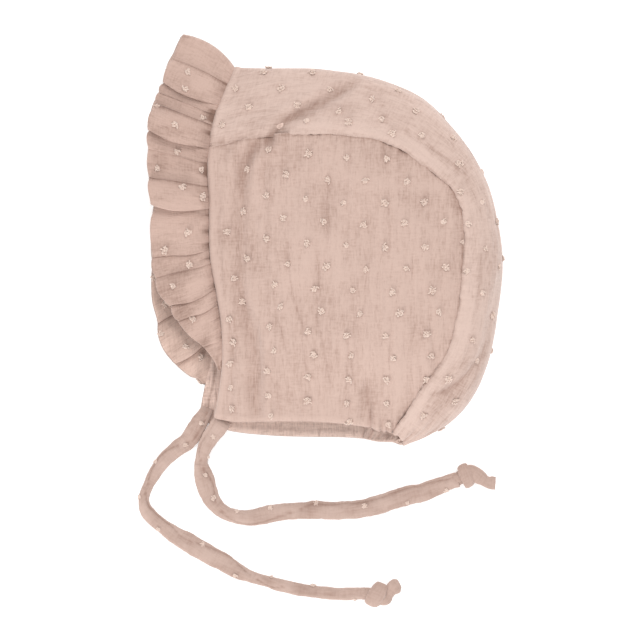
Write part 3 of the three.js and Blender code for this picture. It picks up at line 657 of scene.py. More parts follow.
def crinkles(across, along, seed):
    """The puckered surface of washed double gauze: irregular ridges that run along the warp."""
    sway = 1.6 * rumple(across / 9, along / 30, seed + 7)
    ridge = 0.5 * rumple((across + sway) / 2.3, along / 26, seed)
    ridge = ridge + 0.85 * rumple((across + sway) / 4.1, along / 42, seed + 1)
    ridge = ridge + 0.35 * rumple((across + sway) / 1.3, along / 11, seed + 2)
    ridge = ridge * (0.65 + 0.6 * rumple(across / 21, along / 24, seed + 3))
    weft = 0.13 * rumple(across / 12, along / 1.6, seed + 4)
    return ridge + weft + 0.5 * rumple(across / 8, along / 9, seed + 5)


panel_gauze = gauze("dotted_gauze", LIGHT_PINK, WARM_PINK)
lining_gauze = gauze("lining_gauze", PALE_PINK, WARM_PINK, crinkle=1.3)
steps = np.linspace(0, 1, PANEL_STEPS + 1)
u, v = np.meshgrid(steps, steps, indexing="ij")
middle = panel_points(True, u, v)
seam_away, seam_run = nearest(middle, upper_seam(np.linspace(0, 1, SEAM_POINTS)))
face_away = edge_away(middle, FACE, True)
neck_away = edge_away(middle, NECK, True)
strip_valley, strip_valley_run = nearest(middle, smooth_line(STRIP_VALLEY))
nape_valley, nape_valley_run = nearest(middle, smooth_line(NAPE_VALLEY))

# The surface, in millimetres above the panel's plain swell: the crinkles, the pull of the seam, the
# hems' ridges, the long valley beside the strip, the drawn-up nape, and the creases.
calm = np.clip(face_away / 4, 0.25, 1)
ridges = crinkles(middle[..., 0], middle[..., 1], 101)
raise_by = PANEL_CRINKLE * calm * ridges
pucker = rumple(seam_run / 3.1, seam_away / 9, 111) + 0.6 * rumple(seam_run / 1.5, seam_run * 0, 112)
raise_by += 0.5 * pucker * np.exp(-seam_away / 3.4)
seam_open = np.clip(face_away / 9, 0, 1)
raise_by -= seam_open * (0.45 * dip(seam_away, 1.0) + 0.75 * dip(seam_away, 5))
raise_by += 0.55 * dip(face_away - 2.2, 1.6) - 0.7 * dip(face_away, 0.7)
raise_by += 0.4 * dip(neck_away - 2.4, 1.8) - 0.8 * dip(neck_away, 0.8)
sunk = 0.7 + 0.4 * rumple(strip_valley_run / 17, strip_valley * 0, 113)
raise_by -= VALLEY_DEPTH * dip(strip_valley, VALLEY_WIDTH) * sunk
raise_by += VALLEY_DEPTH / 2 * dip(strip_valley - 6.5, 3)
drawn = np.clip(nape_valley_run / 14, 0, 1) ** 1.5
raise_by -= 1.2 * drawn * dip(nape_valley, 1.2)
raise_by += 1.1 * drawn * dip(nape_valley - 2.6, 1.8) * (middle[..., 0] > 22.8)
raise_by += 1.2 * rumple(middle[..., 0] / 19, middle[..., 1] / 27, 114) * np.clip(seam_away / 8, 0, 1)
wrinkle_shade = 0 * u
for wrinkle in WRINKLES:
    away, run = nearest(middle, smooth_line(wrinkle))
    faded = np.sin(math.pi * np.clip(run / run.max(), 0.02, 0.98)) ** 0.6
    raise_by -= WRINKLE_DEPTH * faded * dip(away, 0.9)
    wrinkle_shade += faded * (0.2 * dip(away, 0.5) + 0.09 * dip(away, 1.8))
drawn_up = np.clip((middle[..., 0] - 22.5) / 4, 0, 1) * np.exp(-neck_away / 3.5)
raise_by += 0.7 * drawn_up * np.sin(middle[..., 0] * 2 * math.pi / NAPE_GATHER)
panel_grid = middle + normals_of(middle) * raise_by[..., None]

# Painted shade and highlight in the cloth's colour: painted shade in the creases, valleys and puckers and
# beside the seam, a painted highlight on the crinkle ridges and the hems' ridges, and a little random tone.
panel_shade = wrinkle_shade + 0.3 * dip(seam_away - 0.8, 0.55) + 0.1 * dip(seam_away - 1, 3)
panel_shade += 0.24 * dip(strip_valley, 3)
panel_shade += 0.34 * dip(strip_valley, 3.4) * np.exp(-((strip_valley_run / 24) ** 2))
panel_shade += 0.07 * rumple(middle[..., 0] / 4.5, middle[..., 1] / 22, 115)
panel_shade += 0.07 * rumple(middle[..., 0] / 26, middle[..., 1] / 5, 116)
panel_shade -= 0.13 * calm * np.clip(ridges, -1.4, 2)
panel_shade += 0.11 * dip(nearest(middle, smooth_line([(-4, 25), (30, 21.5), (62, 18.5)]))[0], 3.6)
panel_shade -= 0.1 * dip(nearest(middle, smooth_line([(-4, 31), (30, 28), (55, 25)]))[0], 3)
for x, y, size, dark in PUCKERS:
    panel_shade += dark * dip(np.hypot(middle[..., 0] - x, middle[..., 1] - y), size)
panel_shade += 0.3 * drawn * dip(nape_valley, 1.4)
panel_shade -= 0.22 * dip(face_away - 2, 1.8) + 0.12 * dip(neck_away - 2, 1.6)
left_panel, panel_top, panel_normal = cloth_wall(
    "left_panel_gauze", panel_grid, PANEL_CLOTH, [panel_gauze, lining_gauze], middle * [1, 1, 0],
    panel_shade,
)
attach(left_panel, "root")
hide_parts("left_side_panel")


# The right side panel, underneath: the same cut, flat on the table with its dots pressed under
# it. Past the neck edge its plain ribbed lining shows.
RIGHT_STEPS = 168
PRESSED_CLOTH = 0.8
PRESSED_CRINKLE = 0.13
steps = np.linspace(0, 1, RIGHT_STEPS + 1)
u, v = np.meshgrid(steps, steps, indexing="ij")
middle = panel_points(False, u, v)[::-1]
middle[..., 2] = PRESSED_CLOTH
under_away = edge_away(middle, NECK, False)
raise_by = PRESSED_CRINKLE * np.clip(crinkles(middle[..., 0] * 1.3, middle[..., 1], 201), -2, 2)
raise_by += 0.25 * dip(under_away - 2, 1.6)
far_face = edge_away(middle, FACE, False)
raise_by += 0.5 * dip(far_face - 1.4, 1.2)
right_grid = middle + [0, 0, 1] * raise_by[..., None]
# Painted shade in the crinkles' hollows, along the hem's fold and towards the face edge, and a painted
# highlight on the neck edge's hem.
right_shade = 0.12 * np.clip(-raise_by / PRESSED_CRINKLE, 0, 1.5) - 0.1 * dip(under_away - 1.5, 1.5)
right_shade += 0.8 * dip(far_face - 3.3, 0.6) + 0.5 * np.clip(1 - far_face / 9, 0, 1)
right_panel, right_outer, _ = cloth_wall(
    "right_panel_gauze", right_grid, PRESSED_CLOTH, [panel_gauze, lining_gauze], middle * [1, 1, 0],
    right_shade, lining_step=1, drop=0,
)
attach(right_panel, "root")
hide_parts("right_side_panel")


# The crown strip: one long band from the face edge over the crown to the nape, sewn to both
# panels. It rolls over at its outer rim, and the seam allowances inside show as a soft ridge.
STRIP_ALONG = 480
STRIP_ROUND = 112
STRIP_CLOTH = 0.9
STRIP_CRINKLE = 0.32
CREASE_DEPTH = 1.1
STRIP_GATHER = 5.2
FACE_BOW = 2  # how far its front edge bows out
CROWN_CREASE = [(-27, 52.5), (-12.5, 62.8), (4.5, 70.8), (14, 76.5)]
BACK_CREASE = [(88, -17), (83, -42), (76.5, -60), (65, -73), (54, -78)]
FAR_CREASE = [(57.2, 62.8), (67, 52), (79.6, 32.8)]
TURNED_UNDER = [(91, -19), (87, -44), (80.5, -63), (68, -77), (56, -83)]
STRIP_FOLDS = [
    [0.25, 0.83, 0.45, 0.93, 0.85, 1], [0.985, 0.4, 0.9, 0.18, 0.75, 0.65],
]


def strip_points(at, turn):
    """The middle of the strip: turn runs from 0 at the lower seam over the rim to pi on top."""
    top = upper_seam(at)
    under = under_seam(at)
    share = ((1 - np.cos(turn)) / 2)[..., None]
    reach = (np.maximum(np.sin(turn), 0) ** between(STRIP, at)[..., 5])[..., None]
    middle = (top + under) / 2
    points = under + (top - under) * share
    points[..., :2] += ((rim_line(at, 0.0) - middle) * reach)[..., :2]
    near_face = np.maximum(0, 1 - at * len(STRIP))
    points[..., 0] -= FACE_BOW * near_face * np.sin(math.pi * reach[..., 0])
    points[..., 2] -= dents(STRIP_FOLDS, points) * share[..., 0] * (turn > math.pi / 2)
    return points


half_turn = math.pi * (1 - np.linspace(0, 1, STRIP_ROUND + 1))
at, turn = np.meshgrid(np.linspace(0, 1, STRIP_ALONG + 1), half_turn, indexing="ij")
middle = strip_points(at, turn)
round_steps = np.linalg.norm(np.diff(middle, axis=1), axis=2)
round_run = np.concatenate([np.zeros((STRIP_ALONG + 1, 1)), np.cumsum(round_steps, axis=1)], 1)
seam_run = np.broadcast_to(lengths(middle[:, 0])[:, None], at.shape)
nape_away = seam_run[-1] - seam_run
rim_run = np.broadcast_to(lengths(middle[:, STRIP_ROUND // 2])[:, None], at.shape)
back_run = round_run[:, -1:] - round_run
upper = np.clip(-np.cos(turn) / 0.7 - 0.25, 0, 1)
crown_crease, crown_crease_run = nearest(middle, smooth_line(CROWN_CREASE))
back_crease = nearest(middle, smooth_line(BACK_CREASE))[0]
far_crease = nearest(middle, smooth_line(FAR_CREASE))[0]
ridges = crinkles(round_run, rim_run, 301)
raise_by = STRIP_CRINKLE * ridges * np.clip(seam_run / 4, 0.25, 1)
pucker = rumple(seam_run / 3.4, round_run / 8, 311) + 0.5 * rumple(seam_run / 1.4, seam_run * 0, 312)
seam_pull = np.exp(-round_run / 3.6) + np.exp(-back_run / 3.6)
raise_by += 0.5 * pucker * seam_pull
raise_by += 0.35 * dip(round_run - 2, 1.6) - 0.7 * dip(round_run, 0.9)
raise_by += 0.6 * dip(back_run - 1.2, 1.6) - 0.35 * dip(back_run, 0.5)
raise_by += 0.55 * dip(round_run - 6.5, 1.6) * (0.6 + 0.5 * rumple(seam_run / 23, seam_run * 0, 313))
raise_by += 0.5 * dip(seam_run - 2, 1.5) - 0.7 * dip(seam_run, 0.7)
raise_by -= CREASE_DEPTH * upper * dip(crown_crease, 2.4) - 0.8 * upper * dip(crown_crease - 5, 2.8)
raise_by -= CREASE_DEPTH * upper * dip(back_crease, 2.2) - 0.6 * upper * dip(back_crease - 4.5, 2.6)
raise_by -= 0.6 * upper * dip(far_crease, 1.2)
seam_free = np.clip(round_run / 8, 0, 1) * np.clip(back_run / 8, 0, 1)
raise_by += 0.9 * rumple(round_run / 17, rim_run / 24, 314) * seam_free
gather = np.exp(-nape_away / 11)
uneven = 2 * rumple(round_run / 7, round_run * 0, 315)
raise_by += 0.8 * gather * np.sin(round_run * 2 * math.pi / STRIP_GATHER + uneven)
outward = normals_of(middle)
floor_room = np.clip((middle[..., 2] - 0.25) / 2.5, 0.12, 1)
lap = 0.4 + 0.28 * rumple(seam_run / 2.1, seam_run * 0, 316) + 0.3 * rumple(seam_run / 7, seam_run * 0, 317)
lap = lap * np.clip(seam_run / 6, 0, 1)
over = unit(np.gradient(middle, axis=1))
strip_grid = middle + outward * (raise_by * floor_room)[..., None]
strip_grid -= over * (lap * dip(round_run, 2))[..., None]
strip_grid[..., 2] = np.maximum(strip_grid[..., 2], 0.6)
strip_cloth = np.stack([round_run, rim_run, 0 * rim_run + 20], -1)
# Painted shade in the creases, along the seams, beside the allowance ridge, in the gathers and on the
# turned-under faces; a painted highlight on the crinkle ridges, the allowance ridge and the front edge; and
# a little random tone.
strip_shade = -0.12 * np.clip(ridges, -2, 2) + 0.25 * dip(round_run, 0.5)
strip_shade += 0.25 * dip(back_run, 0.5) - 0.12 * dip(round_run - 2, 2.5)
strip_shade += upper * (0.14 + 0.4 * np.exp(-crown_crease_run / 14)) * dip(crown_crease, 1.3)
strip_shade += upper * (0.26 * dip(crown_crease, 4.2) + 0.34 * dip(back_crease, 1.5))
strip_shade += np.clip(-np.cos(turn) / 0.25, 0, 1) * 0.6 * dip(far_crease, 1.3)
strip_shade += upper * 0.24 * dip(nearest(middle, smooth_line(TURNED_UNDER))[0], 4)
strip_shade -= 0.15 * dip(seam_run - 2, 1.8)
allowance_shading = 0.5 + 0.5 * rumple(seam_run / 23, seam_run * 0, 319)
strip_shade += allowance_shading * (0.16 * dip(round_run - 8.4, 1.4) - 0.1 * dip(round_run - 4.5, 2.5))
strip_shade += 0.1 * rumple(round_run / 4, rim_run / 20, 318)
strip_shade += 0.3 * gather * (raise_by < 0)
# The strip's gauze is a lighter copy of the panel's, as painted light.
strip_gauze = gauze("crown_gauze", (0.52, 0.39, 0.338), WARM_PINK, streaks=0.85)
crown_strip, strip_top, strip_normal = cloth_wall(
    "crown_strip_gauze", strip_grid, STRIP_CLOTH, [strip_gauze, lining_gauze], strip_cloth, strip_shade
)
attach(crown_strip, "root")
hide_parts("crown_strip")


# The frill: a folded strip of the same dotted gauze, gathered to two thirds of its length and sewn
# under the face edge. It falls in soft flat folds, each lapping over the next.
FRILL_WIDTH = 29
FRILL_FOLD = 7.2  # height of its folds at the free edge
FRILL_ROOT_FOLD = 2.6  # and at the seam
FRILL_DROOP = 3.4  # how far the upper layer sinks at its free edge
FRILL_LIFT = 0.8  # how far the lower one rises there
FRILL_PRESSED = 0.75  # the lower layer's folds are this share as high
FRILL_CLOTH = 0.9
TUCKED_IN = 32  # a tenth of it lies under the face edge
FRILL_SEAM_TURN = 0.722  # place where the seam passes from the panel to the strip
FRILL_SEAM = 150.0  # length of either layer's seam
FRILL_TOP = np.array([  # how far out on the strip's front edge, width, angle, bow
    [0, 1.07, 17, 0], [0.28, 1.04, 21, 0], [0.62, 1.02, 22, 0], [0.87, 1.0, 25, 0.03], [1, 1.05, 33, 0.11],
])
UPPER_CREASES = [  # place along the seam, depth, and how far out the crease runs
    (0.112, 0.5, 0.4), (0.237, 0.7, 0.6), (0.289, 0.85, 0.8), (0.37, 0.5, 0.4), (0.424, 0.8, 0.5),
    (0.56, 1.15, 1.4), (0.617, 0.45, 0.35), (0.677, 0.4, 0.3), (0.73, 1.2, 1.0), (0.8, 0.22, 0.5),
    (0.838, 0.45, 0.2), (0.877, 0.85, 0.95), (0.945, 0.2, 0.2),
]
LOWER_CREASES = [
    (0.185, 1.1, 1.4), (0.31, 0.35, 0.35), (0.45, 0.7, 0.6), (0.6, 0.9, 0.95), (0.73, 0.8, 0.95),
    (0.877, 0.85, 0.95),
]
FLAP_STEPS = 22
TURN_STEPS = 8
FRILL_ACROSS = 30


def frill_plan(seam, lifted):
    """Where the frill is sewn on at a place along its seam, its width, and the way it points."""
    at = 0.2 + 0.8 * np.minimum(seam / FRILL_SEAM_TURN, 1)
    row = between(FACE, at)
    out = np.clip((seam - FRILL_SEAM_TURN) / (1 - FRILL_SEAM_TURN), 0, 1)
    turn = np.arcsin(np.clip(out ** (1 / STRIP[0][5]), 0, 1))
    beyond = seam > FRILL_SEAM_TURN
    root = np.where(
        beyond[..., None],
        strip_points(np.zeros_like(seam), math.pi - turn if lifted else turn),
        free_edge(FACE, lifted, at),
    )
    top = [np.interp(out, FRILL_TOP[:, 0], FRILL_TOP[:, k]) for k in (1, 2, 3)]
    width = np.where(beyond, top[0], row[..., 3 if lifted else 7])
    angle = np.where(beyond, top[1], row[..., 4 if lifted else 8])
    bow = np.where(beyond, top[2], 0)
    return root, width * FRILL_WIDTH, np.radians(angle), bow, np.where(beyond, np.cos(turn), 1)


def flaps(creases):
    """The run of the folds: place on the seam, lap beyond it, height, depth, reach and edge."""
    run = []
    start = 1
    above = 0
    for stop, deep, reach in reversed(creases):
        step = 0.13 * min(deep, 1) * (reach > 0.75) * min(1.4, max(1, reach))
        for share in np.linspace(0, 1, FLAP_STEPS, endpoint=False):
            rise = math.sin(math.pi / 2 * min(1, share / 0.6)) ** 0.8 * (1 - 0.12 * share)
            edge = 1 - above * math.exp(-4 * share) + 0.035 * math.sin(math.pi * share)
            run.append((start + (stop - start) * share, -(share**4), rise * deep, deep, reach, edge))
        for share in np.linspace(0, 1, TURN_STEPS, endpoint=False):
            lap = (1 + math.cos(math.pi * share)) / 2 + 0.2 * math.sin(math.pi * share)
            rise = 0.88 * deep * (1 + math.cos(math.pi * share)) / 2
            run.append((stop, -lap, rise, deep, reach, 1 - step * share))
        start = stop
        above = step
    for share in np.linspace(0, 1, 16):
        run.append((start * (1 - share), 0, 0.35 * math.sin(math.pi * share), 0.4, 1.4, 1))
    return np.array(run)[::-1]


out = np.linspace(-0.1, 1, FRILL_ACROSS + 1)


def frill_side(lifted):
    """One layer of the frill, from its chin end to the fold at the top."""
    folds = flaps(UPPER_CREASES if lifted else LOWER_CREASES)
    place_on_seam, lap, rise, deep, sharp, edge = (folds[:, k, None] + 0 * out for k in range(6))
    share = np.clip(out, 0, 1) + 0 * place_on_seam
    held = 1 / (1 + np.exp((share - sharp) * 9))
    lap_size = (1 + 1.5 * np.sin(math.pi * share**1.1) + 0.8 * share) * deep * held / FRILL_SEAM
    seam = np.clip(place_on_seam + lap * lap_size, 0, 1)
    root, width, angle, bow, level = frill_plan(seam, lifted)
    seed = 401 if lifted else 431
    run = seam * FRILL_SEAM
    ripple = 1 + 0.02 * rumple(run / 7, run * 0, seed)
    reach = width * np.where(out > 0, share * ripple * (1 + (edge - 1) * share**3), 0)
    reach = reach + np.minimum(out, 0) * TUCKED_IN
    forward = np.stack([-np.cos(angle), np.sin(angle), 0 * angle], -1)
    aside = np.stack([np.sin(angle), np.cos(angle), 0 * angle], -1)
    points = root + forward * reach[..., None]
    points += aside * (width * bow * 4 * share * (1 - share))[..., None]
    slack = np.minimum(1, width / (0.5 * FRILL_WIDTH))
    freed = 0.15 + 0.85 * np.clip(reach / 4.5, 0, 1) ** 0.8
    height = FRILL_ROOT_FOLD + (FRILL_FOLD - FRILL_ROOT_FOLD) * share**0.8
    height = height * rise * (0.3 + 0.7 * held) * freed
    gathers = rumple(run / 3.6, share * 1.2, seed + 1) + 0.4 * rumple(run / 1.7, share * 2, seed + 2)
    height = height + 1.6 * gathers * np.exp(-(np.maximum(reach - 2, 0) / 4) ** 2) * slack * freed
    height = height + 2.0 * rumple(run / 9 + share * 1.5, share * 2, seed + 3) * share
    height = height + 0.22 * crinkles(reach, run, seed + 4) * np.clip(share * 4, 0, 1)
    tuck = np.clip(1 - reach / 3.5, 0, 1.8)
    if lifted:
        lie = height - FRILL_DROOP * share - 1.3 * tuck
    else:
        lie = FRILL_PRESSED * height + FRILL_LIFT * share + 0.4
    points[..., 2] += lie * slack * level
    points[..., 2] = np.maximum(points[..., 2], 0.62)
    cloth = np.stack([run * 1.3 + 3 * lap, reach, 0 * run + (0 if lifted else 400)], -1)
    # Painted shade under each lap and in the gathers at the seam, and a random tone.
    hidden = np.clip(1 - rise / np.maximum(deep, 0.01), 0, 1)
    shade = 0.03 + 1.3 * hidden**2.6 * held * np.minimum(deep, 1.1) ** 1.5
    shade = shade + 1.5 * np.clip(-gathers - 0.12, 0, 1) * np.exp(-(reach / 3.2) ** 2)
    shade = shade + 0.3 * rumple(run / 6 + share, share * 2.5, seed + 6)
    return points, cloth, shade


upper_layer, upper_cloth, upper_shade = frill_side(True)
lower_layer, lower_cloth, lower_shade = frill_side(False)
frill_grid = np.concatenate([upper_layer, lower_layer[-2::-1]])
frill_cloth = np.concatenate([upper_cloth, lower_cloth[-2::-1]])
frill_shade = np.concatenate([upper_shade, lower_shade[-2::-1]])
# The same dotted gauze in two copies: the lower layer's lighter as painted light, the upper layer's a
# little darker than the panel's as painted shade, each with a darker pink for painted shade in its folds.
lower_gauze = gauze("lower_frill_gauze", (0.6, 0.438, 0.37), (0.27, 0.17, 0.135), streaks=0.75)
frill_gauze = gauze("frill_gauze", (0.475, 0.336, 0.284), (0.22, 0.135, 0.105), streaks=0.75)
face_frill, frill_top, frill_normal = cloth_wall(
    "face_frill_gauze", frill_grid, FRILL_CLOTH, [frill_gauze, lower_gauze], frill_cloth, frill_shade,
    lining_step=1, drop=0,
)
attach(face_frill, "root")
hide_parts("face_frill")


# The casing: a narrow band of plain gauze sewn inside the nape, drawn up by the elastic in it
# into close little gathers.
CASING_WIDTH = 8
CASING_STEPS = 360
CASING_LEFT = 0.86  # where it starts along the left panel's neck edge
CASING_RIGHT = 0.72  # and ends along the right panel's
CASING_INSET = 2.0
CASING_CLOTH = 0.8
CASING_GATHER = 3.4
inward = np.linspace(0, CASING_WIDTH / (HEAD_HEIGHT * 0.5), 13)
third = CASING_STEPS // 3
ramp = np.linspace(0, 1, third + 1)[:, None] + 0 * inward
v = inward + 0 * ramp
left_part = panel_points(True, CASING_LEFT + (1 - CASING_LEFT) * ramp, v)
middle_part = strip_points(1 - v * (1 - PANEL_CORNER), math.pi * (1 - ramp))
right_part = panel_points(False, 1 + (CASING_RIGHT - 1) * ramp, v)
shell = np.concatenate([left_part[:-1], middle_part[:-1], right_part])
run = lengths(shell[:, 0])[:, None] + 0 * inward
inside = normals_of(shell)
gather = np.sin(run * 2 * math.pi / CASING_GATHER + 1.5 * rumple(run / 6, run * 0, 501))
gather = 0.5 * gather + 0.25 * rumple(run / 1.8, inward * 60 + 0 * run, 502)
casing_grid = shell - inside * (CASING_INSET + gather)[..., None]
casing_grid[..., 2] = np.maximum(casing_grid[..., 2], 1.9)
# Painted shade in the gathers' folds.
casing_shade = 0.15 + 0.4 * np.clip(gather, 0, 1)
casing_cloth = np.stack([run, inward * 90 + 0 * run, 0 * run], -1)
nape_casing, _, _ = cloth_wall(
    "nape_casing_gauze", casing_grid, CASING_CLOTH, [lining_gauze], casing_cloth, casing_shade,
    lining_step=1, drop=0,
)
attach(nape_casing, "root")
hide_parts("nape_casing")


# The dots: tufts of soft cream-pink yarn woven into the gauze and clipped, each a little clump of
# curled loops about 4 mm across. They stand in staggered rows over every outer face.
TUFT_LOOPS = 14
LOOP_STEPS = 7
LOOP_SIDES = 4
YARN = 0.27
LEFT_DOT_ROWS = [  # first dot's x and the row's y, from the neck edge up
    (-46.8, -92.8), (-47.4, -82.7), (-47.8, -70.7), (-45.5, -59.6), (-48, -48.5), (-41.5, -37.6),
    (-45, -26.9), (-38.5, -15.7), (-48.7, -4.4), (-39.6, 6.8), (-29.6, 17.2), (-38.5, 28.4),
    (-28, 39.8), (-17.5, 51),
]
DOT_PITCH = 19.65
STRIP_DOTS = [
    (-45, 75.2), (-22, 75.2), (2, 74.2), (23.5, 69.2), (45.5, 63.2), (64.2, 50.2), (-38, 66), (-14, 66.5),
    (7, 63.2), (28, 59.2), (48, 51.2), (66.5, 37), (-51.5, 55.8), (-29, 55.8), (-9.5, 57.8), (11.5, 57.8),
    (33.2, 52.2), (50.5, 37.2), (67.5, 23), (78.2, 17.8), (79.8, -5.2), (78, -27), (73.2, -50.5),
    (61.5, -70.2), (49, -88.2), (-31, 83.4), (-6.5, 83.4), (37, 74.4), (86.6, 8.2), (88, -14.2),
    (84, -38.8), (76, -61.2), (64.6, -81), (70, 7), (69.5, -16.2), (66.5, -36.8), (64.8, -46.2),
]
FRILL_DOTS = [
    (-69, 83.2), (-70, 75.2), (-61.5, 60.5), (-74.5, 57.2), (-84.2, 67.2), (-74.5, 43.8), (-84.5, 35.2),
    (-61.5, 34.8), (-71.5, 25.8), (-61.5, 20.8), (-69, 3.2), (-80, -6.2), (-67.5, -12.8), (-76.5, -24),
    (-66.5, -40.2),
]
LOWER_FRILL_DOTS = [
    (-82.6, -47.2), (-70, -54.2), (-62, -59.4), (-80, -33), (-72, -42), (-86, -20), (-60, -50),
]
TIE_DOT_SIZE = 0.72
UNDER_FRILL_DOTS = 17  # on the lower layer's side that faces the table
FRILL_END = 12  # steps at each end of that layer without a dot
chance = np.random.default_rng(7)


def yarn(name):
    """Soft loosely spun cotton, a little lighter than the gauze, and lightened further as painted light
    against the shade between its loops.
    """
    material, cloth = bare_cotton(name)
    fluff = cloth.stretched(1800, 1800, 1800).cloudy(2.0)
    twist = cloth.stretched(300, 300, 300).cloudy(1.0)
    light = (fluff * 0.6 + twist * 0.5 - 0.1).eased(0.1, 0.9)
    colour = light.dyed((0.58, 0.44, 0.375), (0.73, 0.585, 0.505))
    finish_cotton(colour, fluff, 0.5, 0.0003, (0.95, 0.1, 0.4, 0.5))
    return material


dot_yarn = yarn("dot_yarn")


def tuft(seed):
    """One dot's loops, about the origin and standing on the plane: points and faces."""
    dice = np.random.default_rng(seed)
    points = []
    faces = []
    for _ in range(TUFT_LOOPS):
        bearing = dice.uniform(0, 2 * math.pi)
        spot = 1.3 * dice.uniform(0, 1) ** 0.7 * np.array([math.cos(bearing), math.sin(bearing)])
        size = dice.uniform(0.48, 0.72)
        heading = dice.uniform(0, 2 * math.pi)
        lean = dice.uniform(-1.1, 1.1)
        sweep = dice.uniform(3.4, 5.6)
        turn = np.linspace(-0.35, sweep, LOOP_STEPS + 1)
        side = np.cos(turn - 1.2) * size
        rise = np.maximum(np.sin(turn - 0.2) * size * 0.6 + 0.5, 0.1)
        x = spot[0] + side * math.cos(heading) - rise * lean * math.sin(heading)
        y = spot[1] + side * math.sin(heading) + rise * lean * math.cos(heading)
        line = np.stack([x, y, rise * math.sqrt(1 / (1 + lean * lean))], 1)
        along = unit(np.gradient(line, axis=0))
        first = unit(np.cross(along, [0.3, 0.5, 0.81]))
        second = np.cross(along, first)
        angle = 2 * math.pi * np.arange(LOOP_SIDES) / LOOP_SIDES
        ring = (
            line[:, None]
            + first[:, None] * np.cos(angle)[:, None] * YARN
            + second[:, None] * np.sin(angle)[:, None] * YARN
        )
        base = sum(len(p) for p in points)
        points.append(ring.reshape(-1, 3))
        faces.extend([tuple(base + k for k in face) for face in tube(ring)])
    base = sum(len(p) for p in points)
    rim = 2 * math.pi * np.arange(12) / 12
    pad = np.stack([1.35 * np.cos(rim), 1.2 * np.sin(rim), 0 * rim], 1)
    points.append(np.concatenate([pad, pad * [0.7, 0.7, 0] + [0, 0, 0.42], [[0, 0, 0.5]]]))
    for k in range(12):
        after = (k + 1) % 12
        faces.append((base + k, base + after, base + 12 + after, base + 12 + k))
        faces.append((base + 12 + k, base + 12 + after, base + 24))
    return np.concatenate(points), faces


tufts = [tuft(900 + k) for k in range(9)]


def spread_tufts(name, spots, facings, flatness, cloth_piece, scale=1.0):
    """One piece with a tuft at every spot, standing along the cloth's face there."""
    points = []
    faces = []
    base = 0
    for spot, normal in zip(spots, facings):
        shape, loops = tufts[chance.integers(len(tufts))]
        turn = chance.uniform(0, 2 * math.pi)
        size = chance.uniform(0.95, 1.2) * scale
        side = unit(np.cross(normal, [math.cos(turn), math.sin(turn), 0.01]))
        other = np.cross(normal, side)
        axes = np.stack([side, other, normal * flatness]) * size
        points.append(shape @ axes + spot)
        faces.extend([tuple(base + k for k in face) for face in loops])
        base += len(shape)
    points = np.concatenate(points)
    points[:, 2] = np.maximum(points[:, 2], 0.02)
    piece = sew(name, points, faces, [dot_yarn], [0] * len(faces), points, np.zeros(len(points)))
    piece.parent = cloth_piece


def lifted_to(surface, normals, wanted, reach=1.3):
    """The spots on a surface that lie at places of the plan, each with the cloth's direction."""
    flat = surface.reshape(-1, 3)
    faces = normals.reshape(-1, 3)
    spots = []
    facings = []
    for x, y in wanted:
        away = np.hypot(flat[:, 0] - x, flat[:, 1] - y)
        near = np.where(away < reach)[0]
        if not len(near):
            continue
        best = near[np.argmax(flat[near, 2] - 1.5 * away[near])]
        spots.append(flat[best])
        facings.append(faces[best])
    return spots, facings


panel_places = []
for x, y in LEFT_DOT_ROWS:
    for step in range(7):
        spot_x = x + DOT_PITCH * step + chance.normal(0, 0.35)
        panel_places.append((spot_x, y + 0.0013 * (spot_x - 30) ** 2 + chance.normal(0, 0.3)))
inner_panel = panel_top[6:-5, 5:-5]
spots, facings = lifted_to(inner_panel, panel_normal[6:-5, 5:-5], panel_places, reach=0.7)
spread_tufts("left_panel_dots", spots, facings, 1.0, left_panel)

spots = []
facings = []
for row in range(12):
    for step in range(7):
        i = int((0.04 + 0.145 * (step + 0.5 * (row % 2))) * RIGHT_STEPS)
        j = int((0.05 + 0.08 * row) * RIGHT_STEPS)
        if i < RIGHT_STEPS - 3 and j < RIGHT_STEPS - 3:
            spots.append(right_outer[i, j] * [1, 1, 0] + [0, 0, 0.3])
            facings.append(np.array([0, 0, -1.0]))
spread_tufts("right_panel_dots", spots, facings, 0.12, right_panel)

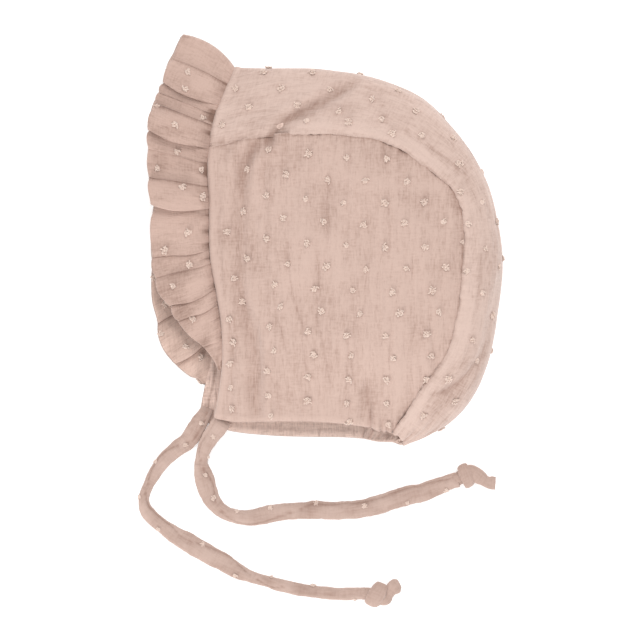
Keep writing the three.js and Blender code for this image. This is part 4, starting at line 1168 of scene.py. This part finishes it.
upper_part = STRIP_ROUND // 2
spots, facings = lifted_to(strip_top[3:-3, 2:upper_part], strip_normal[3:-3, 2:upper_part], STRIP_DOTS)
for row in range(4, 14):
    for step in range(24):
        along = 6 + 23 * (step + 0.5 * (row % 2)) + chance.normal(0, 0.5)
        i = int(np.searchsorted(rim_run[:, 0], along))
        if i > STRIP_ALONG - 6:
            continue
        j = int(np.searchsorted(round_run[i], 10.0 * row - 9.5))
        if abs(strip_normal[i, min(j, STRIP_ROUND), 2]) < 0.3 and step % 2:
            continue
        if STRIP_ROUND // 2 - 8 < j < STRIP_ROUND - 6 and strip_top[i, j, 2] > 1.2:
            spots.append(strip_top[i, j])
            facings.append(strip_normal[i, j])
spread_tufts("crown_strip_dots", spots, facings, 1.0, crown_strip)

half = len(upper_layer)
spots, facings = lifted_to(frill_top[:half, 4:], frill_normal[:half, 4:], FRILL_DOTS)
inner_face = frill_grid[half:, 4:] - frill_normal[half:, 4:] * FRILL_CLOTH / 2
inner_spots, inner_facings = lifted_to(inner_face, -frill_normal[half:, 4:], LOWER_FRILL_DOTS)
spots += inner_spots
facings += inner_facings
for step in range(UNDER_FRILL_DOTS):
    i = half + FRILL_END + int(step * (half - 2 * FRILL_END) / UNDER_FRILL_DOTS)
    i = min(i, len(frill_top) - 2)
    j = 8 + 8 * (step % 3)
    spots.append(frill_top[i, j])
    facings.append(frill_normal[i, j])
spread_tufts("face_frill_dots", spots, facings, 1.0, face_frill)

for strap, line in ((left_tie, left_line), (right_tie, right_line)):
    wanted = []
    for k in range(34, len(line) - 10, 41):
        ahead = line[k + 4] - line[k - 4]
        offset = chance.choice([-1, 0.2, 1]) * chance.uniform(2.4, 3.5) / math.hypot(*ahead[:2])
        wanted.append((line[k][0] / MM - ahead[1] * offset, line[k][1] / MM + ahead[0] * offset))
    strap_points = np.array([vertex.co for vertex in strap.data.vertices]) / MM
    strap_faces = np.array([vertex.normal for vertex in strap.data.vertices])
    spots, facings = lifted_to(strap_points, strap_faces, wanted)
    dots = strap.name.replace("gauze", "dots")
    spread_tufts(dots, spots, facings, 0.6, strap, TIE_DOT_SIZE)
